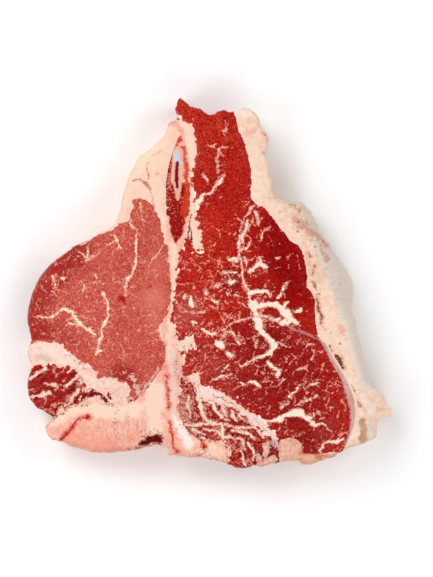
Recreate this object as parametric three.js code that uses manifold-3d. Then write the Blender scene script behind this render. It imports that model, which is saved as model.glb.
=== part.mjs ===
// A raw T-bone steak, sawn across the short loin and lying flat, with its large tenderloin to the left.
// Millimetres, +Z up. Seen from above, +X is to the right and +Y is away. The origin is under the middle.
// The steak is one slab with a shaped rim and an uneven top. Seam curves part it into its tissues, and
// every tissue runs through the whole thickness.
import * as THREE from "three";
import { mergeVertices } from "three/addons/utils/BufferGeometryUtils.js";
import Module from "manifold-3d";

// Driving dimensions
const THICKNESS = 27;
const GAP = 0.3; // between neighbouring tissues
const RIM_STEP = 4; // spacing of the points along the rim
const SEAM_STEP = 4; // spacing of the points along a seam
const TUCK = 1.2; // how far the lower rim draws in
const TUCK_HEIGHT = 2.5;
const ROUND_LEAN = 2; // a rim of this lean is a quarter round
const RIM_DROP = 2.5; // from the top down to the widest line of such a rim
const DROP_RATE = 1.6; // how much lower the widest line lies for each further millimetre of lean
const STRAIGHTENING = 0.05; // how fast the rim's curve loses its roundness with the lean
const OUTSIDE = 1.15; // seams run on past the rim to this share of their distance from the middle
const SPARE = 8; // how far cutting shapes reach past the top and the bottom

// Points where seams meet the rim, and where they meet each other
const FASCIA_END = [-19, 89];
const CAP_TOP = [12.5, 94.5];
const CAP_FOOT = [71.5, -91.5];
const CHINE_RIGHT = [22, -100.5];
const CHINE_LEFT = [10.5, -99.5];
const BONE_LEFT = [-85.5, -73];
const SIDE_TOP = [-97, -44.5];
const FILLET_LOW = [-97, -31];
const FILLET_TOP = [-75, 19.5];
const STEM_TOP = [-15, 18];
const BONE_TIP = [-14.5, 84];
const STEM_LEFT = [-23.5, 20];
const STEM_FOOT = [-16, -50];
const FILLET_FOOT = [-37, -61];
const SIDE_TIP = [-70, -64.5];
const CHINE_TIP = [38.5, -84.5];
const CHINE_END = [34, -85];
const SKIN_TOP = [58.5, -28];

// Rim stretches, clockwise from above. The third number is the lean: how far the top edge lies inside the
// widest line. Most of the rim is nearly upright, and the fat cap slopes out below its top edge.
const LEANS = { upright: 2.5, sawn: 3, slope: 14 };
const RIM = {
  loinEnd: [
    [...FASCIA_END, 2], [-19, 95.5, 2], [-15.5, 102, 2], [-11.5, 98, 2.5], [-5, 96, 2.5], [1.5, 92.5, 2.5],
    [6, 95, 2.5], [...CAP_TOP, LEANS.upright],
  ],
  capEdge: [
    [...CAP_TOP, LEANS.upright], [20, 95.5, 2.5], [25, 93, 2.5], [29, 84, 2.5], [33, 79.5, 2.5],
    [31.5, 71.5, 2.5], [34.5, 56.5, 2.5], [35.5, 49.5, 3], [40.5, 46, 4], [50.5, 44.5, 7], [56, 39, 8.5],
    [65.5, 22, 9], [77, 6.5, 13], [80, -3, LEANS.slope], [79.5, -16, 8.5], [84.5, -36.5, 6.5],
    [87.5, -53.5, 5], [93.5, -59.5, 3], [99.5, -71.5, 2], [92.5, -74, 2.5], [90.5, -83.5, 3],
    [85, -87, 3], [77.5, -89.5, 3], [...CAP_FOOT, LEANS.sawn],
  ],
  loinFoot: [
    [...CAP_FOOT, LEANS.sawn], [67, -95.5, 4.5], [59, -98.5, 6], [49.5, -100, 6], [47.5, -97.5, 4],
    [39, -97.5, 3], [28.5, -100, 3], [...CHINE_RIGHT, LEANS.sawn],
  ],
  chineFoot: [[...CHINE_RIGHT, LEANS.sawn], [16.5, -101.5, 3], [...CHINE_LEFT, LEANS.sawn]],
  boneFoot: [
    [...CHINE_LEFT, LEANS.sawn], [4.5, -97, 4], [-5, -95.5, 4], [-23, -93.5, 4], [-23, -89, 3],
    [-29.5, -88.5, 3], [-43.5, -92, 5], [-68, -91.5, 5], [-80, -87, 4], [-86.5, -85, 3],
    [-89.5, -77.5, 3], [...BONE_LEFT, LEANS.sawn],
  ],
  sideEdge: [
    [...BONE_LEFT, LEANS.sawn], [-94, -67.5, 3], [-98.5, -61.5, 3], [-99, -52.5, 3],
    [...SIDE_TOP, LEANS.sawn],
  ],
  seamEdge: [[...SIDE_TOP, LEANS.sawn], [-99, -35.5, 2.5], [...FILLET_LOW, LEANS.sawn]],
  filletEdge: [
    [...FILLET_LOW, LEANS.sawn], [-99.5, -15.5, 5], [-94, 1.5, 5], [-85.5, 12, 4],
    [...FILLET_TOP, LEANS.sawn],
  ],
  suetEdge: [
    [...FILLET_TOP, LEANS.sawn], [-65, 25, 2.5], [-53, 31, 2.5], [-50, 37, 3], [-48, 47.5, 3],
    [-43.5, 60.5, 3], [-38.5, 69.5, 3], [-33, 73, 2.5], [-25, 81, 2.5], [-23, 87.5, 2],
    [...FASCIA_END, 2],
  ],
};

// Seams between two tissues
const SEAMS = {
  loinCap: [
    CAP_TOP, [15.5, 84], [20, 72], [23, 56], [22.5, 46], [30.5, 39.5], [43.5, 24], [50, 17.5], [52.5, 6],
    [53, -1.5], [56.5, -7.5], [57, -18.5], SKIN_TOP,
  ],
  loinSkin: [SKIN_TOP, [65.5, -42.5], [71.5, -53.5], [75, -65.5], [75.5, -78], CAP_FOOT],
  skinCap: [
    SKIN_TOP, [64, -33], [69.5, -43.5], [75, -52], [79.5, -62.5], [80, -73.5], [76.5, -82.5], CAP_FOOT,
  ],
  loinLower: [CAP_FOOT, [61, -92], [50.5, -91.5], [49.5, -86.5], [44, -83.5], CHINE_TIP],
  loinChine: [
    CHINE_TIP, [29.5, -75], [22, -68], [12, -61], [1.5, -56.5], [-4.5, -54.5], [-5, -50], STEM_FOOT,
  ],
  loinBone: [
    STEM_FOOT, [-12.5, -42.5], [-14.5, -36.5], [-6, -34], [-7.5, -29.5], [-15.5, -29.5], [-19, -21],
    [-18.5, -8], [-17.5, 6], STEM_TOP,
  ],
  loinFascia: [
    STEM_TOP, [-11.5, 24.5], [-7.5, 17.5], [-4, 19.5], [-5.5, 33], [-7.5, 43.5], [-9.5, 56], [-7, 64.5],
    [-5.5, 73], [-9, 83.5], [-13, 89], FASCIA_END,
  ],
  boneFascia: [STEM_TOP, [-12.5, 28], [-10.5, 38.5], [-10.5, 56], [-11.5, 72], BONE_TIP],
  boneSuet: [BONE_TIP, [-19.5, 72], [-23, 58], [-23.5, 42.5], [-23, 29], STEM_LEFT],
  filletSuet: [
    FILLET_TOP, [-63, 25], [-51.5, 29.5], [-48.5, 33], [-43.5, 34.5], [-41.5, 41], [-41, 45.5],
    [-37, 46.5], [-32, 43], [-28.5, 38.5], [-26, 30], STEM_LEFT,
  ],
  filletBone: [
    STEM_LEFT, [-22, 7.5], [-21, -7.5], [-24, -18.5], [-28, -23.5], [-26.5, -29.5], [-24, -34.5],
    [-25, -42.5], [-30.5, -52], FILLET_FOOT,
  ],
  filletSeam: [
    FILLET_FOOT, [-42, -59], [-44.5, -53.5], [-52.5, -51], [-60, -48.5], [-64, -43], [-71, -39.5],
    [-80, -33], [-88, -30.5], FILLET_LOW,
  ],
  seamBone: [FILLET_FOOT, [-43, -65], [-52.5, -66.5], [-62.5, -63.5], SIDE_TIP],
  sideSeam: [SIDE_TIP, [-68, -56.5], [-71, -49.5], [-78.5, -45.5], [-88, -44.5], SIDE_TOP],
  sideBone: [BONE_LEFT, [-78.5, -67], SIDE_TIP],
  chineBone: [STEM_FOOT, [-16.5, -63], [-14, -76], [-7.5, -82.5], [2, -84.5], [9.5, -90], CHINE_LEFT],
  chineTop: [
    STEM_FOOT, [-10.5, -54.5], [-6, -61.5], [2.5, -64], [12, -68], [21, -73.5], [28.5, -81.5], CHINE_END,
  ],
  chineJoin: [CHINE_END, CHINE_TIP],
  chineLumps: [CHINE_END, [28, -86.5], [25.5, -92], CHINE_RIGHT],
};

// Each tissue's outline, clockwise. A minus sign runs a seam the other way, and a plus sign is a rim stretch.
const OUTLINES = {
  strip_loin: ["+loinEnd", "loinCap", "loinSkin", "loinLower", "loinChine", "loinBone", "loinFascia"],
  tenderloin: ["+filletEdge", "filletSuet", "filletBone", "filletSeam"],
  t_bone: [
    "+boneFoot", "sideBone", "-seamBone", "-filletBone", "-boneSuet", "-boneFascia", "-loinBone",
    "chineBone",
  ],
  fat_cap: ["+capEdge", "-skinCap", "-loinCap"],
  kidney_fat: ["+suetEdge", "-loinFascia", "boneFascia", "boneSuet", "-filletSuet"],
  seam_fat: ["+seamEdge", "-filletSeam", "seamBone", "sideSeam"],
  side_muscle: ["+sideEdge", "-sideSeam", "-sideBone"],
  chine_muscle: ["+chineFoot", "-chineBone", "chineTop", "chineLumps"],
  chine_fat: ["-loinChine", "-chineJoin", "-chineTop"],
  silver_skin: ["skinCap", "-loinSkin"],
  lower_fat: ["+loinFoot", "-chineLumps", "chineJoin", "-loinLower"],
};

// Top of each tissue: level against the slab's top, how far its middle swells above its edges and within
// what reach, the cell of its surface, and its bundles' height, spacing and angle from the X axis.
const TOPS = {
  strip_loin: { level: -0.4, swell: 1.4, reach: 6, cell: 6 },
  tenderloin: { level: -0.5, swell: 1.8, reach: 8, cell: 5.5 },
  t_bone: { level: -0.2, swell: 0, reach: 5, cell: 5 },
  fat_cap: { level: -0.4, swell: 0.8, reach: 4, cell: 5.5, tail: 5 },
  kidney_fat: { level: -0.4, swell: 1.2, reach: 4, cell: 4.5 },
  seam_fat: { level: -0.8, swell: 0.5, reach: 3, cell: 5 },
  side_muscle: { level: -0.9, swell: 0.9, reach: 3, cell: 2.5, bundle: 0.5, spacing: 6, angle: 0.52 },
  chine_muscle: { level: -0.8, swell: 0.8, reach: 3, cell: 2.5, bundle: 0.45, spacing: 6, angle: -0.7 },
  chine_fat: { level: -0.5, swell: 0.4, reach: 3, cell: 5 },
  silver_skin: { level: -0.6, swell: 0.3, reach: 2, cell: 6 },
  lower_fat: { level: -1.6, swell: 0, reach: 3, cell: 2.5 },
};
const WAVE = 0.3; // slow unevenness of the sawn face
const TAIL_START = 78; // the tail of the fat cap sinks from here to its tip
const TAIL_LENGTH = 22;

// Crumbs of fat and gristle along the lower edge: place, radius and height
const LUMPS = [
  [30.5, -87.5, 3.2, 1.9],
  [26.5, -94.5, 2.4, 1.5],
  [33, -96, 3.6, 1.9],
  [40.5, -89.5, 3.4, 2.2],
  [46, -91, 3.2, 1.6],
];

// Open slits in the fat, as ends, width and depth, and the crease lines of the kidney fat
const SLITS = {
  fat_cap: [
    { from: [68.5, -39], to: [73, -46.5], width: 1.8, depth: 4 },
    { from: [58, -9.5], to: [60.5, -20.5], width: 1.4, depth: 3.5 },
    { from: [76, -54], to: [80.5, -64.5], width: 1.1, depth: 3 },
    { from: [82.8, -73.5], to: [83.5, -84], width: 3.2, depth: 4 },
  ],
  kidney_fat: [
    { from: [-41.5, 55.5], to: [-30.5, 43.5], width: 1.8, depth: 2.5 },
    { from: [-34, 66], to: [-31.5, 54.5], width: 1.1, depth: 2 },
  ],
  t_bone: [{ from: [-17, 67], to: [-18, 49], width: 2.2, depth: 2.5 }],
};
const CAVITY = { centre: [-31.5, -84.5], radii: [5.8, 2.3, 8] }; // the nerve canal at the vertebra's lower edge

const COLOURS = {
  strip_loin: { color: 0xb4302a, roughness: 0.45 },
  tenderloin: { color: 0xd0685a, roughness: 0.45 },
  t_bone: { color: 0xf2b49c, roughness: 0.6 },
  fat_cap: { color: 0xf3d2ba, roughness: 0.5 },
  kidney_fat: { color: 0xfcd5bb, roughness: 0.5 },
  seam_fat: { color: 0xfad0ba, roughness: 0.5 },
  side_muscle: { color: 0xa92c22, roughness: 0.5 },
  chine_muscle: { color: 0xaa4a40, roughness: 0.5 },
  chine_fat: { color: 0xf7cdbb, roughness: 0.5 },
  silver_skin: { color: 0xc09085, roughness: 0.4 },
  lower_fat: { color: 0xe6ac96, roughness: 0.55 },
};

const wasm = await Module();
wasm.setup();

function solidFrom(geometry) {
  geometry.deleteAttribute("normal");
  geometry.deleteAttribute("uv");
  const merged = mergeVertices(geometry, 1e-4);
  return new wasm.Manifold(
    new wasm.Mesh({
      numProp: 3,
      vertProperties: new Float32Array(merged.attributes.position.array),
      triVerts: new Uint32Array(merged.index.array),
    }),
  );
}

function geometryFrom(solid) {
  const mesh = solid.getMesh();
  const geometry = new THREE.BufferGeometry();
  geometry.setAttribute("position", new THREE.BufferAttribute(mesh.vertProperties, 3));
  geometry.setIndex(new THREE.BufferAttribute(mesh.triVerts, 1));
  geometry.computeVertexNormals();
  return geometry;
}

// Even points along a smooth curve through the given ones. The third coordinate is carried along.
function sampled(points, step) {
  const curve = new THREE.CatmullRomCurve3(
    points.map(([x, y, lean = 0]) => new THREE.Vector3(x, y, lean)),
    false,
    "centripetal",
  );
  return curve.getSpacedPoints(Math.max(2, Math.round(curve.getLength() / step)));
}

const rimCurves = Object.fromEntries(
  Object.entries(RIM).map(([name, points]) => [name, sampled(points, RIM_STEP)]),
);
const seamCurves = Object.fromEntries(
  Object.entries(SEAMS).map(([name, points]) => [name, sampled(points, SEAM_STEP)]),
);

// The closed outline of a tissue. Its rim stretches are moved out past the slab, so that only the seams cut.
function outlineOf(name) {
  const points = [];
  for (const entry of OUTLINES[name]) {
    if (entry.startsWith("+")) {
      const stretch = rimCurves[entry.slice(1)];
      const outer = stretch.map((p) => new THREE.Vector3(p.x * OUTSIDE, p.y * OUTSIDE, 0));
      points.push(stretch[0], ...outer);
    } else if (entry.startsWith("-")) {
      points.push(...[...seamCurves[entry.slice(1)]].reverse().slice(0, -1));
    } else {
      points.push(...seamCurves[entry].slice(0, -1));
    }
  }
  return points.map((p) => new THREE.Vector2(p.x, p.y));
}

// Clockwise outline drawn in by a distance, with sharp corners cut short
function drawnIn(points, distance) {
  const count = points.length;
  return points.map((p, i) => {
    const before = p.clone().sub(points[(i + count - 1) % count]).normalize();
    const after = points[(i + 1) % count].clone().sub(p).normalize();
    const along = before.clone().add(after).normalize();
    const inward = new THREE.Vector2(along.y, -along.x);
    const share = Math.max(0.35, Math.abs(along.dot(after)));
    return p.clone().addScaledVector(inward, distance / share);
  });
}

function prism(points, bottom, top) {
  const geometry = new THREE.ExtrudeGeometry(new THREE.Shape(points), {
    depth: top - bottom,
    bevelEnabled: false,
    curveSegments: 1,
  });
  return solidFrom(geometry.translate(0, 0, bottom));
}

// The rim's section. From its widest line it rises over the lean to the top, as a curve that is round
// where the lean is small and nearly straight where it is large.
function rimHeight(lean, inset) {
  const drop = RIM_DROP + DROP_RATE * (lean - ROUND_LEAN);
  const bend = 2 - STRAIGHTENING * (lean - ROUND_LEAN);
  const outward = 1 - inset / lean;
  return THICKNESS - drop * (1 - (1 - outward ** bend) ** (1 / bend));
}

// The whole slab: closed loops of the rim at rising heights, with a flat lid at both ends
function slab() {
  const rim = Object.values(rimCurves).flatMap((stretch) => stretch.slice(0, -1));
  const count = rim.length;
  const inward = rim.map((p, i) => {
    const along = new THREE.Vector3();
    for (let k = 1; k <= 2; k++) along.add(rim[(i + k) % count]).sub(rim[(i + count - k) % count]);
    return new THREE.Vector2(along.y, -along.x).normalize();
  });
  const levels = [
    { inset: () => TUCK, z: () => 0 },
    { inset: () => 0, z: () => TUCK_HEIGHT },
    ...[0, 0.12, 0.45, 1].map((share) => ({
      inset: (lean) => lean * share,
      z: (lean) => rimHeight(lean, lean * share),
    })),
    { inset: (lean) => lean, z: () => THICKNESS + SPARE },
  ];
  const position = levels.flatMap(({ inset, z }) =>
    rim.flatMap((p, i) => {
      const at = new THREE.Vector2(p.x, p.y).addScaledVector(inward[i], inset(p.z));
      return [at.x, at.y, z(p.z)];
    }),
  );
  const index = [];
  for (let level = 0; level < levels.length - 1; level++) {
    for (let i = 0; i < count; i++) {
      const next = (i + 1) % count;
      const [a, b] = [level * count + i, level * count + next];
      index.push(a, a + count, b, b, a + count, b + count);
    }
  }
  const lid = (level) => {
    const loop = rim.map((_, i) => {
      const at = 3 * (level * count + i);
      return new THREE.Vector2(position[at], position[at + 1]);
    });
    return THREE.ShapeUtils.triangulateShape(loop, []).map((face) => face.map((i) => level * count + i));
  };
  for (const [a, b, c] of lid(0)) index.push(a, c, b);
  for (const face of lid(levels.length - 1)) index.push(...face);
  const geometry = new THREE.BufferGeometry();
  geometry.setAttribute("position", new THREE.Float32BufferAttribute(position, 3));
  geometry.setIndex(index);
  return solidFrom(geometry);
}

function distanceTo(outline, x, y) {
  const place = new THREE.Vector2(x, y);
  const nearest = new THREE.Vector2();
  let least = Infinity;
  outline.forEach((a, i) => {
    const b = outline[(i + 1) % outline.length];
    const along = b.clone().sub(a);
    const length = Math.max(along.lengthSq(), 1e-9);
    const share = THREE.MathUtils.clamp(place.clone().sub(a).dot(along) / length, 0, 1);
    nearest.copy(a).addScaledVector(along, share);
    least = Math.min(least, nearest.distanceTo(place));
  });
  return least;
}

// Height of a tissue's top at one place
function topHeight(name, outline, x, y) {
  const { level, swell, reach, bundle = 0, spacing = 1, angle = 0, tail = 0 } = TOPS[name];
  const waves = WAVE * Math.sin(x / 11 + 1.3) * Math.cos(y / 13) + (WAVE / 2) * Math.sin(x / 5 + y / 6);
  const across = y * Math.cos(angle) - x * Math.sin(angle);
  const ridges = bundle * Math.sin((2 * Math.PI * across) / spacing);
  const sunk = tail * THREE.MathUtils.smoothstep(x, TAIL_START, TAIL_START + TAIL_LENGTH);
  const lumps = name === "lower_fat" ? lumpHeight(x, y) : 0;
  const swelling = swell * (1 - Math.exp(-distanceTo(outline, x, y) / reach));
  return THICKNESS + level + swelling + waves + ridges + lumps - sunk;
}

function lumpHeight(x, y) {
  const heights = LUMPS.map(([cx, cy, radius, height]) => {
    const away = Math.hypot(x - cx, y - cy) / radius;
    return height * Math.sqrt(Math.max(0, 1 - away * away));
  });
  return Math.max(...heights);
}

// A block over a tissue whose top follows the tissue's surface
function surfaceBlock(name, outline) {
  const box = new THREE.Box2().setFromPoints(outline);
  const size = box.getSize(new THREE.Vector2());
  const middle = box.getCenter(new THREE.Vector2());
  const cells = [size.x, size.y].map((length) => Math.ceil(length / TOPS[name].cell));
  const height = THICKNESS + SPARE;
  const geometry = new THREE.BoxGeometry(size.x, size.y, height, cells[0], cells[1], 1);
  geometry.translate(middle.x, middle.y, height / 2 - SPARE);
  const position = geometry.attributes.position;
  for (let i = 0; i < position.count; i++) {
    if (position.getZ(i) < 0) continue;
    position.setZ(i, topHeight(name, outline, position.getX(i), position.getY(i)));
  }
  return solidFrom(geometry);
}

// A slit is a pointed oval from above, as deep as its ends are sharp
function slitCutter({ from, to, width, depth }) {
  const start = new THREE.Vector2(...from);
  const along = new THREE.Vector2(...to).sub(start);
  const side = new THREE.Vector2(-along.y, along.x).normalize();
  const shares = [0, 0.25, 0.5, 0.75, 1];
  const bulge = (share) => (width / 2) * Math.sin(Math.PI * share);
  const edge = (share, sign) =>
    start.clone().addScaledVector(along, share).addScaledVector(side, sign * bulge(share));
  const points = [
    ...shares.map((share) => edge(share, 1)),
    ...shares.slice(1, -1).reverse().map((share) => edge(share, -1)),
  ];
  return prism(points, THICKNESS - depth, THICKNESS + SPARE);
}

function cavityCutter() {
  const geometry = new THREE.SphereGeometry(1, 12, 8);
  geometry.scale(...CAVITY.radii);
  return solidFrom(geometry.translate(...CAVITY.centre, THICKNESS));
}

const wholeSlab = slab();

function tissue(name) {
  const outline = outlineOf(name);
  let solid = wholeSlab
    .intersect(prism(drawnIn(outline, GAP / 2), -SPARE, THICKNESS + SPARE))
    .intersect(surfaceBlock(name, outline));
  for (const slit of SLITS[name] ?? []) solid = solid.subtract(slitCutter(slit));
  if (name === "t_bone") solid = solid.subtract(cavityCutter());
  const mesh = new THREE.Mesh(
    geometryFrom(solid),
    new THREE.MeshStandardMaterial({ metalness: 0, ...COLOURS[name] }),
  );
  mesh.name = name;
  return mesh;
}

const steak = new THREE.Group();
for (const name of Object.keys(OUTLINES)) steak.add(tissue(name));

export default steak;
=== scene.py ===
# %% [markdown]
# # A raw T-bone steak
# The steak is one thick slice, sawn across the short loin. What shows on its face are the ends of
# things that run through the slice: two muscles on either side of a T-shaped bone, the fat round them,
# and a few smaller muscles near the backbone. This lesson builds each of them as its own closed mesh,
# inside the solid that the construction model holds for it.

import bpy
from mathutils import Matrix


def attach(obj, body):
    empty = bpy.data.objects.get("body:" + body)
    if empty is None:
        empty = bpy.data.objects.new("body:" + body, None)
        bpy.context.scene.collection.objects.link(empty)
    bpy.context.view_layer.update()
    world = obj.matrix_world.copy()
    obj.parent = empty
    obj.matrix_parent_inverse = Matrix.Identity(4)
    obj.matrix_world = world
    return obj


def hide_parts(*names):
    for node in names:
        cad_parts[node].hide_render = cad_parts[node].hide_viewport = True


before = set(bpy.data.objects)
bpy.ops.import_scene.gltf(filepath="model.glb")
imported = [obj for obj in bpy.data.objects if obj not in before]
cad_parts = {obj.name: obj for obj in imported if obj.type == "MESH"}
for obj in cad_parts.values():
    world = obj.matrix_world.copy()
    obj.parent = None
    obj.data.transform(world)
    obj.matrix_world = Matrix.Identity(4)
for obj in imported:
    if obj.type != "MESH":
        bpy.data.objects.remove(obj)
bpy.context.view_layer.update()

# %% [markdown]
# ## Camera
# The steak was photographed from straight above. The camera comes first, because its height and lens
# say what one photo pixel measures on the steak: the picture is 577 pixels tall and takes in 312 mm of
# the top face, so a pixel is 0.54 mm.

import bpy
import numpy as np
from mathutils.geometry import delaunay_2d_cdt

MM = 0.001
PIXEL = 0.54  # mm of the top face in one photo pixel
PHOTO_TALL = 577
THICKNESS = 27.0
LENS = 100.0
SENSOR = 36.0
CAMERA_AIM = (3.78, -2.7)  # the point of the steak under the lens, in mm

camera_data = bpy.data.cameras.new("camera")
camera_data.lens = LENS
camera_data.sensor_width = SENSOR
camera = bpy.data.objects.new("camera", camera_data)
bpy.context.scene.collection.objects.link(camera)
reach = PHOTO_TALL * PIXEL * LENS / SENSOR
camera.location = (CAMERA_AIM[0] * MM, CAMERA_AIM[1] * MM, (THICKNESS + reach) * MM)
bpy.context.scene.camera = camera
print("camera height", round(camera.location.z, 3), "m")

# %% [markdown]
# ## Smooth curves
# Every edge in the slice is a curve that a knife, a saw or growth has made: none is straight and none
# has a corner that a few points can't give. A Catmull-Rom spline passes through all its points, so
# points can be read off the meat and the line stays smooth between them. The centripetal kind doesn't
# overshoot where points lie close together.

# %% Spline and noise helpers
STEP = 0.6  # mm between points of an edge
SPAN_POINTS = 24  # points worked out between two given ones, before the even steps are taken
LATTICE = 128  # random heights along a side of the noise table, which then repeats
LATTICE_SHIFT = 500  # cells that keep the index above 0


def smooth_curve(points, step=STEP):
    """A centripetal Catmull-Rom curve through the points, at even steps.
    Between knots t1 and t2 the place is a blend of blends of the four nearest points, with the knots
    spaced by the square root of the distances. Any columns after x and y are carried along."""
    given = np.array(points, float)
    ends = np.vstack([2 * given[0] - given[1], given, 2 * given[-1] - given[-2]])
    p0, p1, p2, p3 = (ends[k : len(ends) - 3 + k, None, :] for k in range(4))
    gap = [np.maximum(np.linalg.norm(b - a, axis=2, keepdims=True) ** 0.5, 1e-6)
           for a, b in ((p0, p1), (p1, p2), (p2, p3))]
    t0 = np.zeros_like(gap[0])
    t1, t2, t3 = t0 + gap[0], t0 + gap[0] + gap[1], t0 + gap[0] + gap[1] + gap[2]
    t = t1 + (t2 - t1) * np.linspace(0, 1, SPAN_POINTS, endpoint=False)[None, :, None]

    def between(a, b, start, end):
        """The place on the way from a to b at t, where t runs from start to end."""
        return (a * (end - t) + b * (t - start)) / (end - start)

    low, mid, high = between(p0, p1, t0, t1), between(p1, p2, t1, t2), between(p2, p3, t2, t3)
    curve = between(between(low, mid, t0, t2), between(mid, high, t1, t3), t1, t2)
    curve = np.vstack([curve.reshape(-1, given.shape[1]), given[-1:]])
    along = np.r_[0, np.cumsum(np.linalg.norm(np.diff(curve[:, :2], axis=0), axis=1))]
    even = np.linspace(0, along[-1], max(2, int(round(along[-1] / step))) + 1)
    return np.stack([np.interp(even, along, column) for column in curve.T], axis=1)


def noise(x, y, cell, seed):
    """Smooth noise from -1 to 1. Random heights sit on a square lattice with that cell, and a place
    between them takes the heights at its four corners, blended by 3s^2 - 2s^3."""
    table = np.random.default_rng(seed).uniform(-1, 1, (LATTICE, LATTICE))
    u, v = x / cell + LATTICE_SHIFT, y / cell + LATTICE_SHIFT
    i, j = np.floor(u).astype(int), np.floor(v).astype(int)
    s, t = u - i, v - j
    s, t = s * s * (3 - 2 * s), t * t * (3 - 2 * t)
    i, j, i1, j1 = i % LATTICE, j % LATTICE, (i + 1) % LATTICE, (j + 1) % LATTICE
    low = table[i, j] * (1 - s) + table[i1, j] * s
    high = table[i, j1] * (1 - s) + table[i1, j1] * s
    return low * (1 - t) + high * t


def ramp(value, start, end):
    """0 before start, 1 after end, and 3s^2 - 2s^3 between them."""
    s = np.clip((value - start) / (end - start), 0, 1)
    return s * s * (3 - 2 * s)


# %% [markdown]
# ## Rim and seams
# The slice has one rim and a net of seams. Neighbours share a seam, so it is written once and both
# sides read it: then no crack can open between them. A rim point has a third number, its lean. Where
# the lean is small the edge is a rounded upright wall. Where it is large, as on the fat cap, the side
# slopes outwards below the top and its greyish flank shows from above.

# %% Where seams meet, and the rim
FASCIA_END, CAP_TOP, CAP_FOOT = (-19, 89), (12.5, 94.5), (71.5, -91.5)
CHINE_RIGHT, CHINE_LEFT, BONE_LEFT = (22, -100.5), (10.5, -99.5), (-85.5, -73)
SIDE_TOP, FILLET_LOW, FILLET_TOP = (-97, -44.5), (-97, -31), (-75, 19.5)
STEM_TOP, BONE_TIP, STEM_LEFT, STEM_FOOT = (-15, 18), (-14.5, 84), (-23.5, 20), (-16, -50)
FILLET_FOOT, SIDE_TIP, CHINE_TIP, CHINE_END = (-37, -61), (-70, -64.5), (38.5, -84.5), (34, -85)
SKIN_TOP = (58.5, -28)

RIM = {
    "loin_end": [
        (*FASCIA_END, 2), (-19, 95.5, 2), (-15.5, 101.3, 2), (-11.5, 98, 2.5), (-5, 96, 2.5),
        (1.5, 92.5, 2.5), (6, 95, 2.5), (*CAP_TOP, 2.5)],
    "cap_edge": [
        (*CAP_TOP, 2.5), (20, 95.5, 2.5), (25, 93, 2.5), (29, 84, 2.5), (33, 79.5, 2.5), (31.5, 71.5, 2.5),
        (34.5, 56.5, 2.5), (35.5, 49.5, 3), (40.5, 46, 4), (50.5, 44.5, 7), (56, 39, 8.5), (65.5, 22, 9),
        (77, 6.5, 13), (80, -3, 14), (79.5, -16, 8.5), (84.5, -36.5, 6.5), (87.5, -53.5, 5),
        (93.5, -59.5, 3), (99.5, -71.5, 2), (92.5, -74, 2.5), (90.5, -83.5, 3), (85, -87, 3),
        (77.5, -89.5, 3), (*CAP_FOOT, 3)],
    "loin_foot": [
        (*CAP_FOOT, 3), (67, -95.5, 4.5), (59, -98.5, 6), (49.5, -100, 6), (47.5, -97.5, 4),
        (39, -97.5, 3), (28.5, -100, 3), (*CHINE_RIGHT, 3)],
    "chine_foot": [(*CHINE_RIGHT, 3), (16.5, -101.5, 3), (*CHINE_LEFT, 3)],
    "bone_foot": [
        (*CHINE_LEFT, 3), (4.5, -97, 4), (-5, -95.5, 4), (-23, -93.5, 4), (-23, -89, 3), (-29.5, -88.5, 3),
        (-43.5, -92, 5), (-68, -91.5, 5), (-80, -87, 4), (-86.5, -85, 3), (-89.5, -77.5, 3),
        (*BONE_LEFT, 3)],
    "side_edge": [(*BONE_LEFT, 3), (-94, -67.5, 3), (-98.5, -61.5, 3), (-99, -52.5, 3), (*SIDE_TOP, 3)],
    "seam_edge": [(*SIDE_TOP, 3), (-99, -35.5, 2.5), (*FILLET_LOW, 3)],
    "fillet_edge": [(*FILLET_LOW, 3), (-99.5, -15.5, 5), (-94, 1.5, 5), (-85.5, 12, 4), (*FILLET_TOP, 3)],
    "suet_edge": [
        (*FILLET_TOP, 3), (-65, 25, 2.5), (-53, 31, 2.5), (-50, 37, 3), (-48, 47.5, 3), (-43.5, 60.5, 3),
        (-38.5, 69.5, 3), (-33, 73, 2.5), (-25, 81, 2.5), (-23, 87.5, 2), (*FASCIA_END, 2)],
}
print(len(RIM), "stretches of rim")

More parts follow.
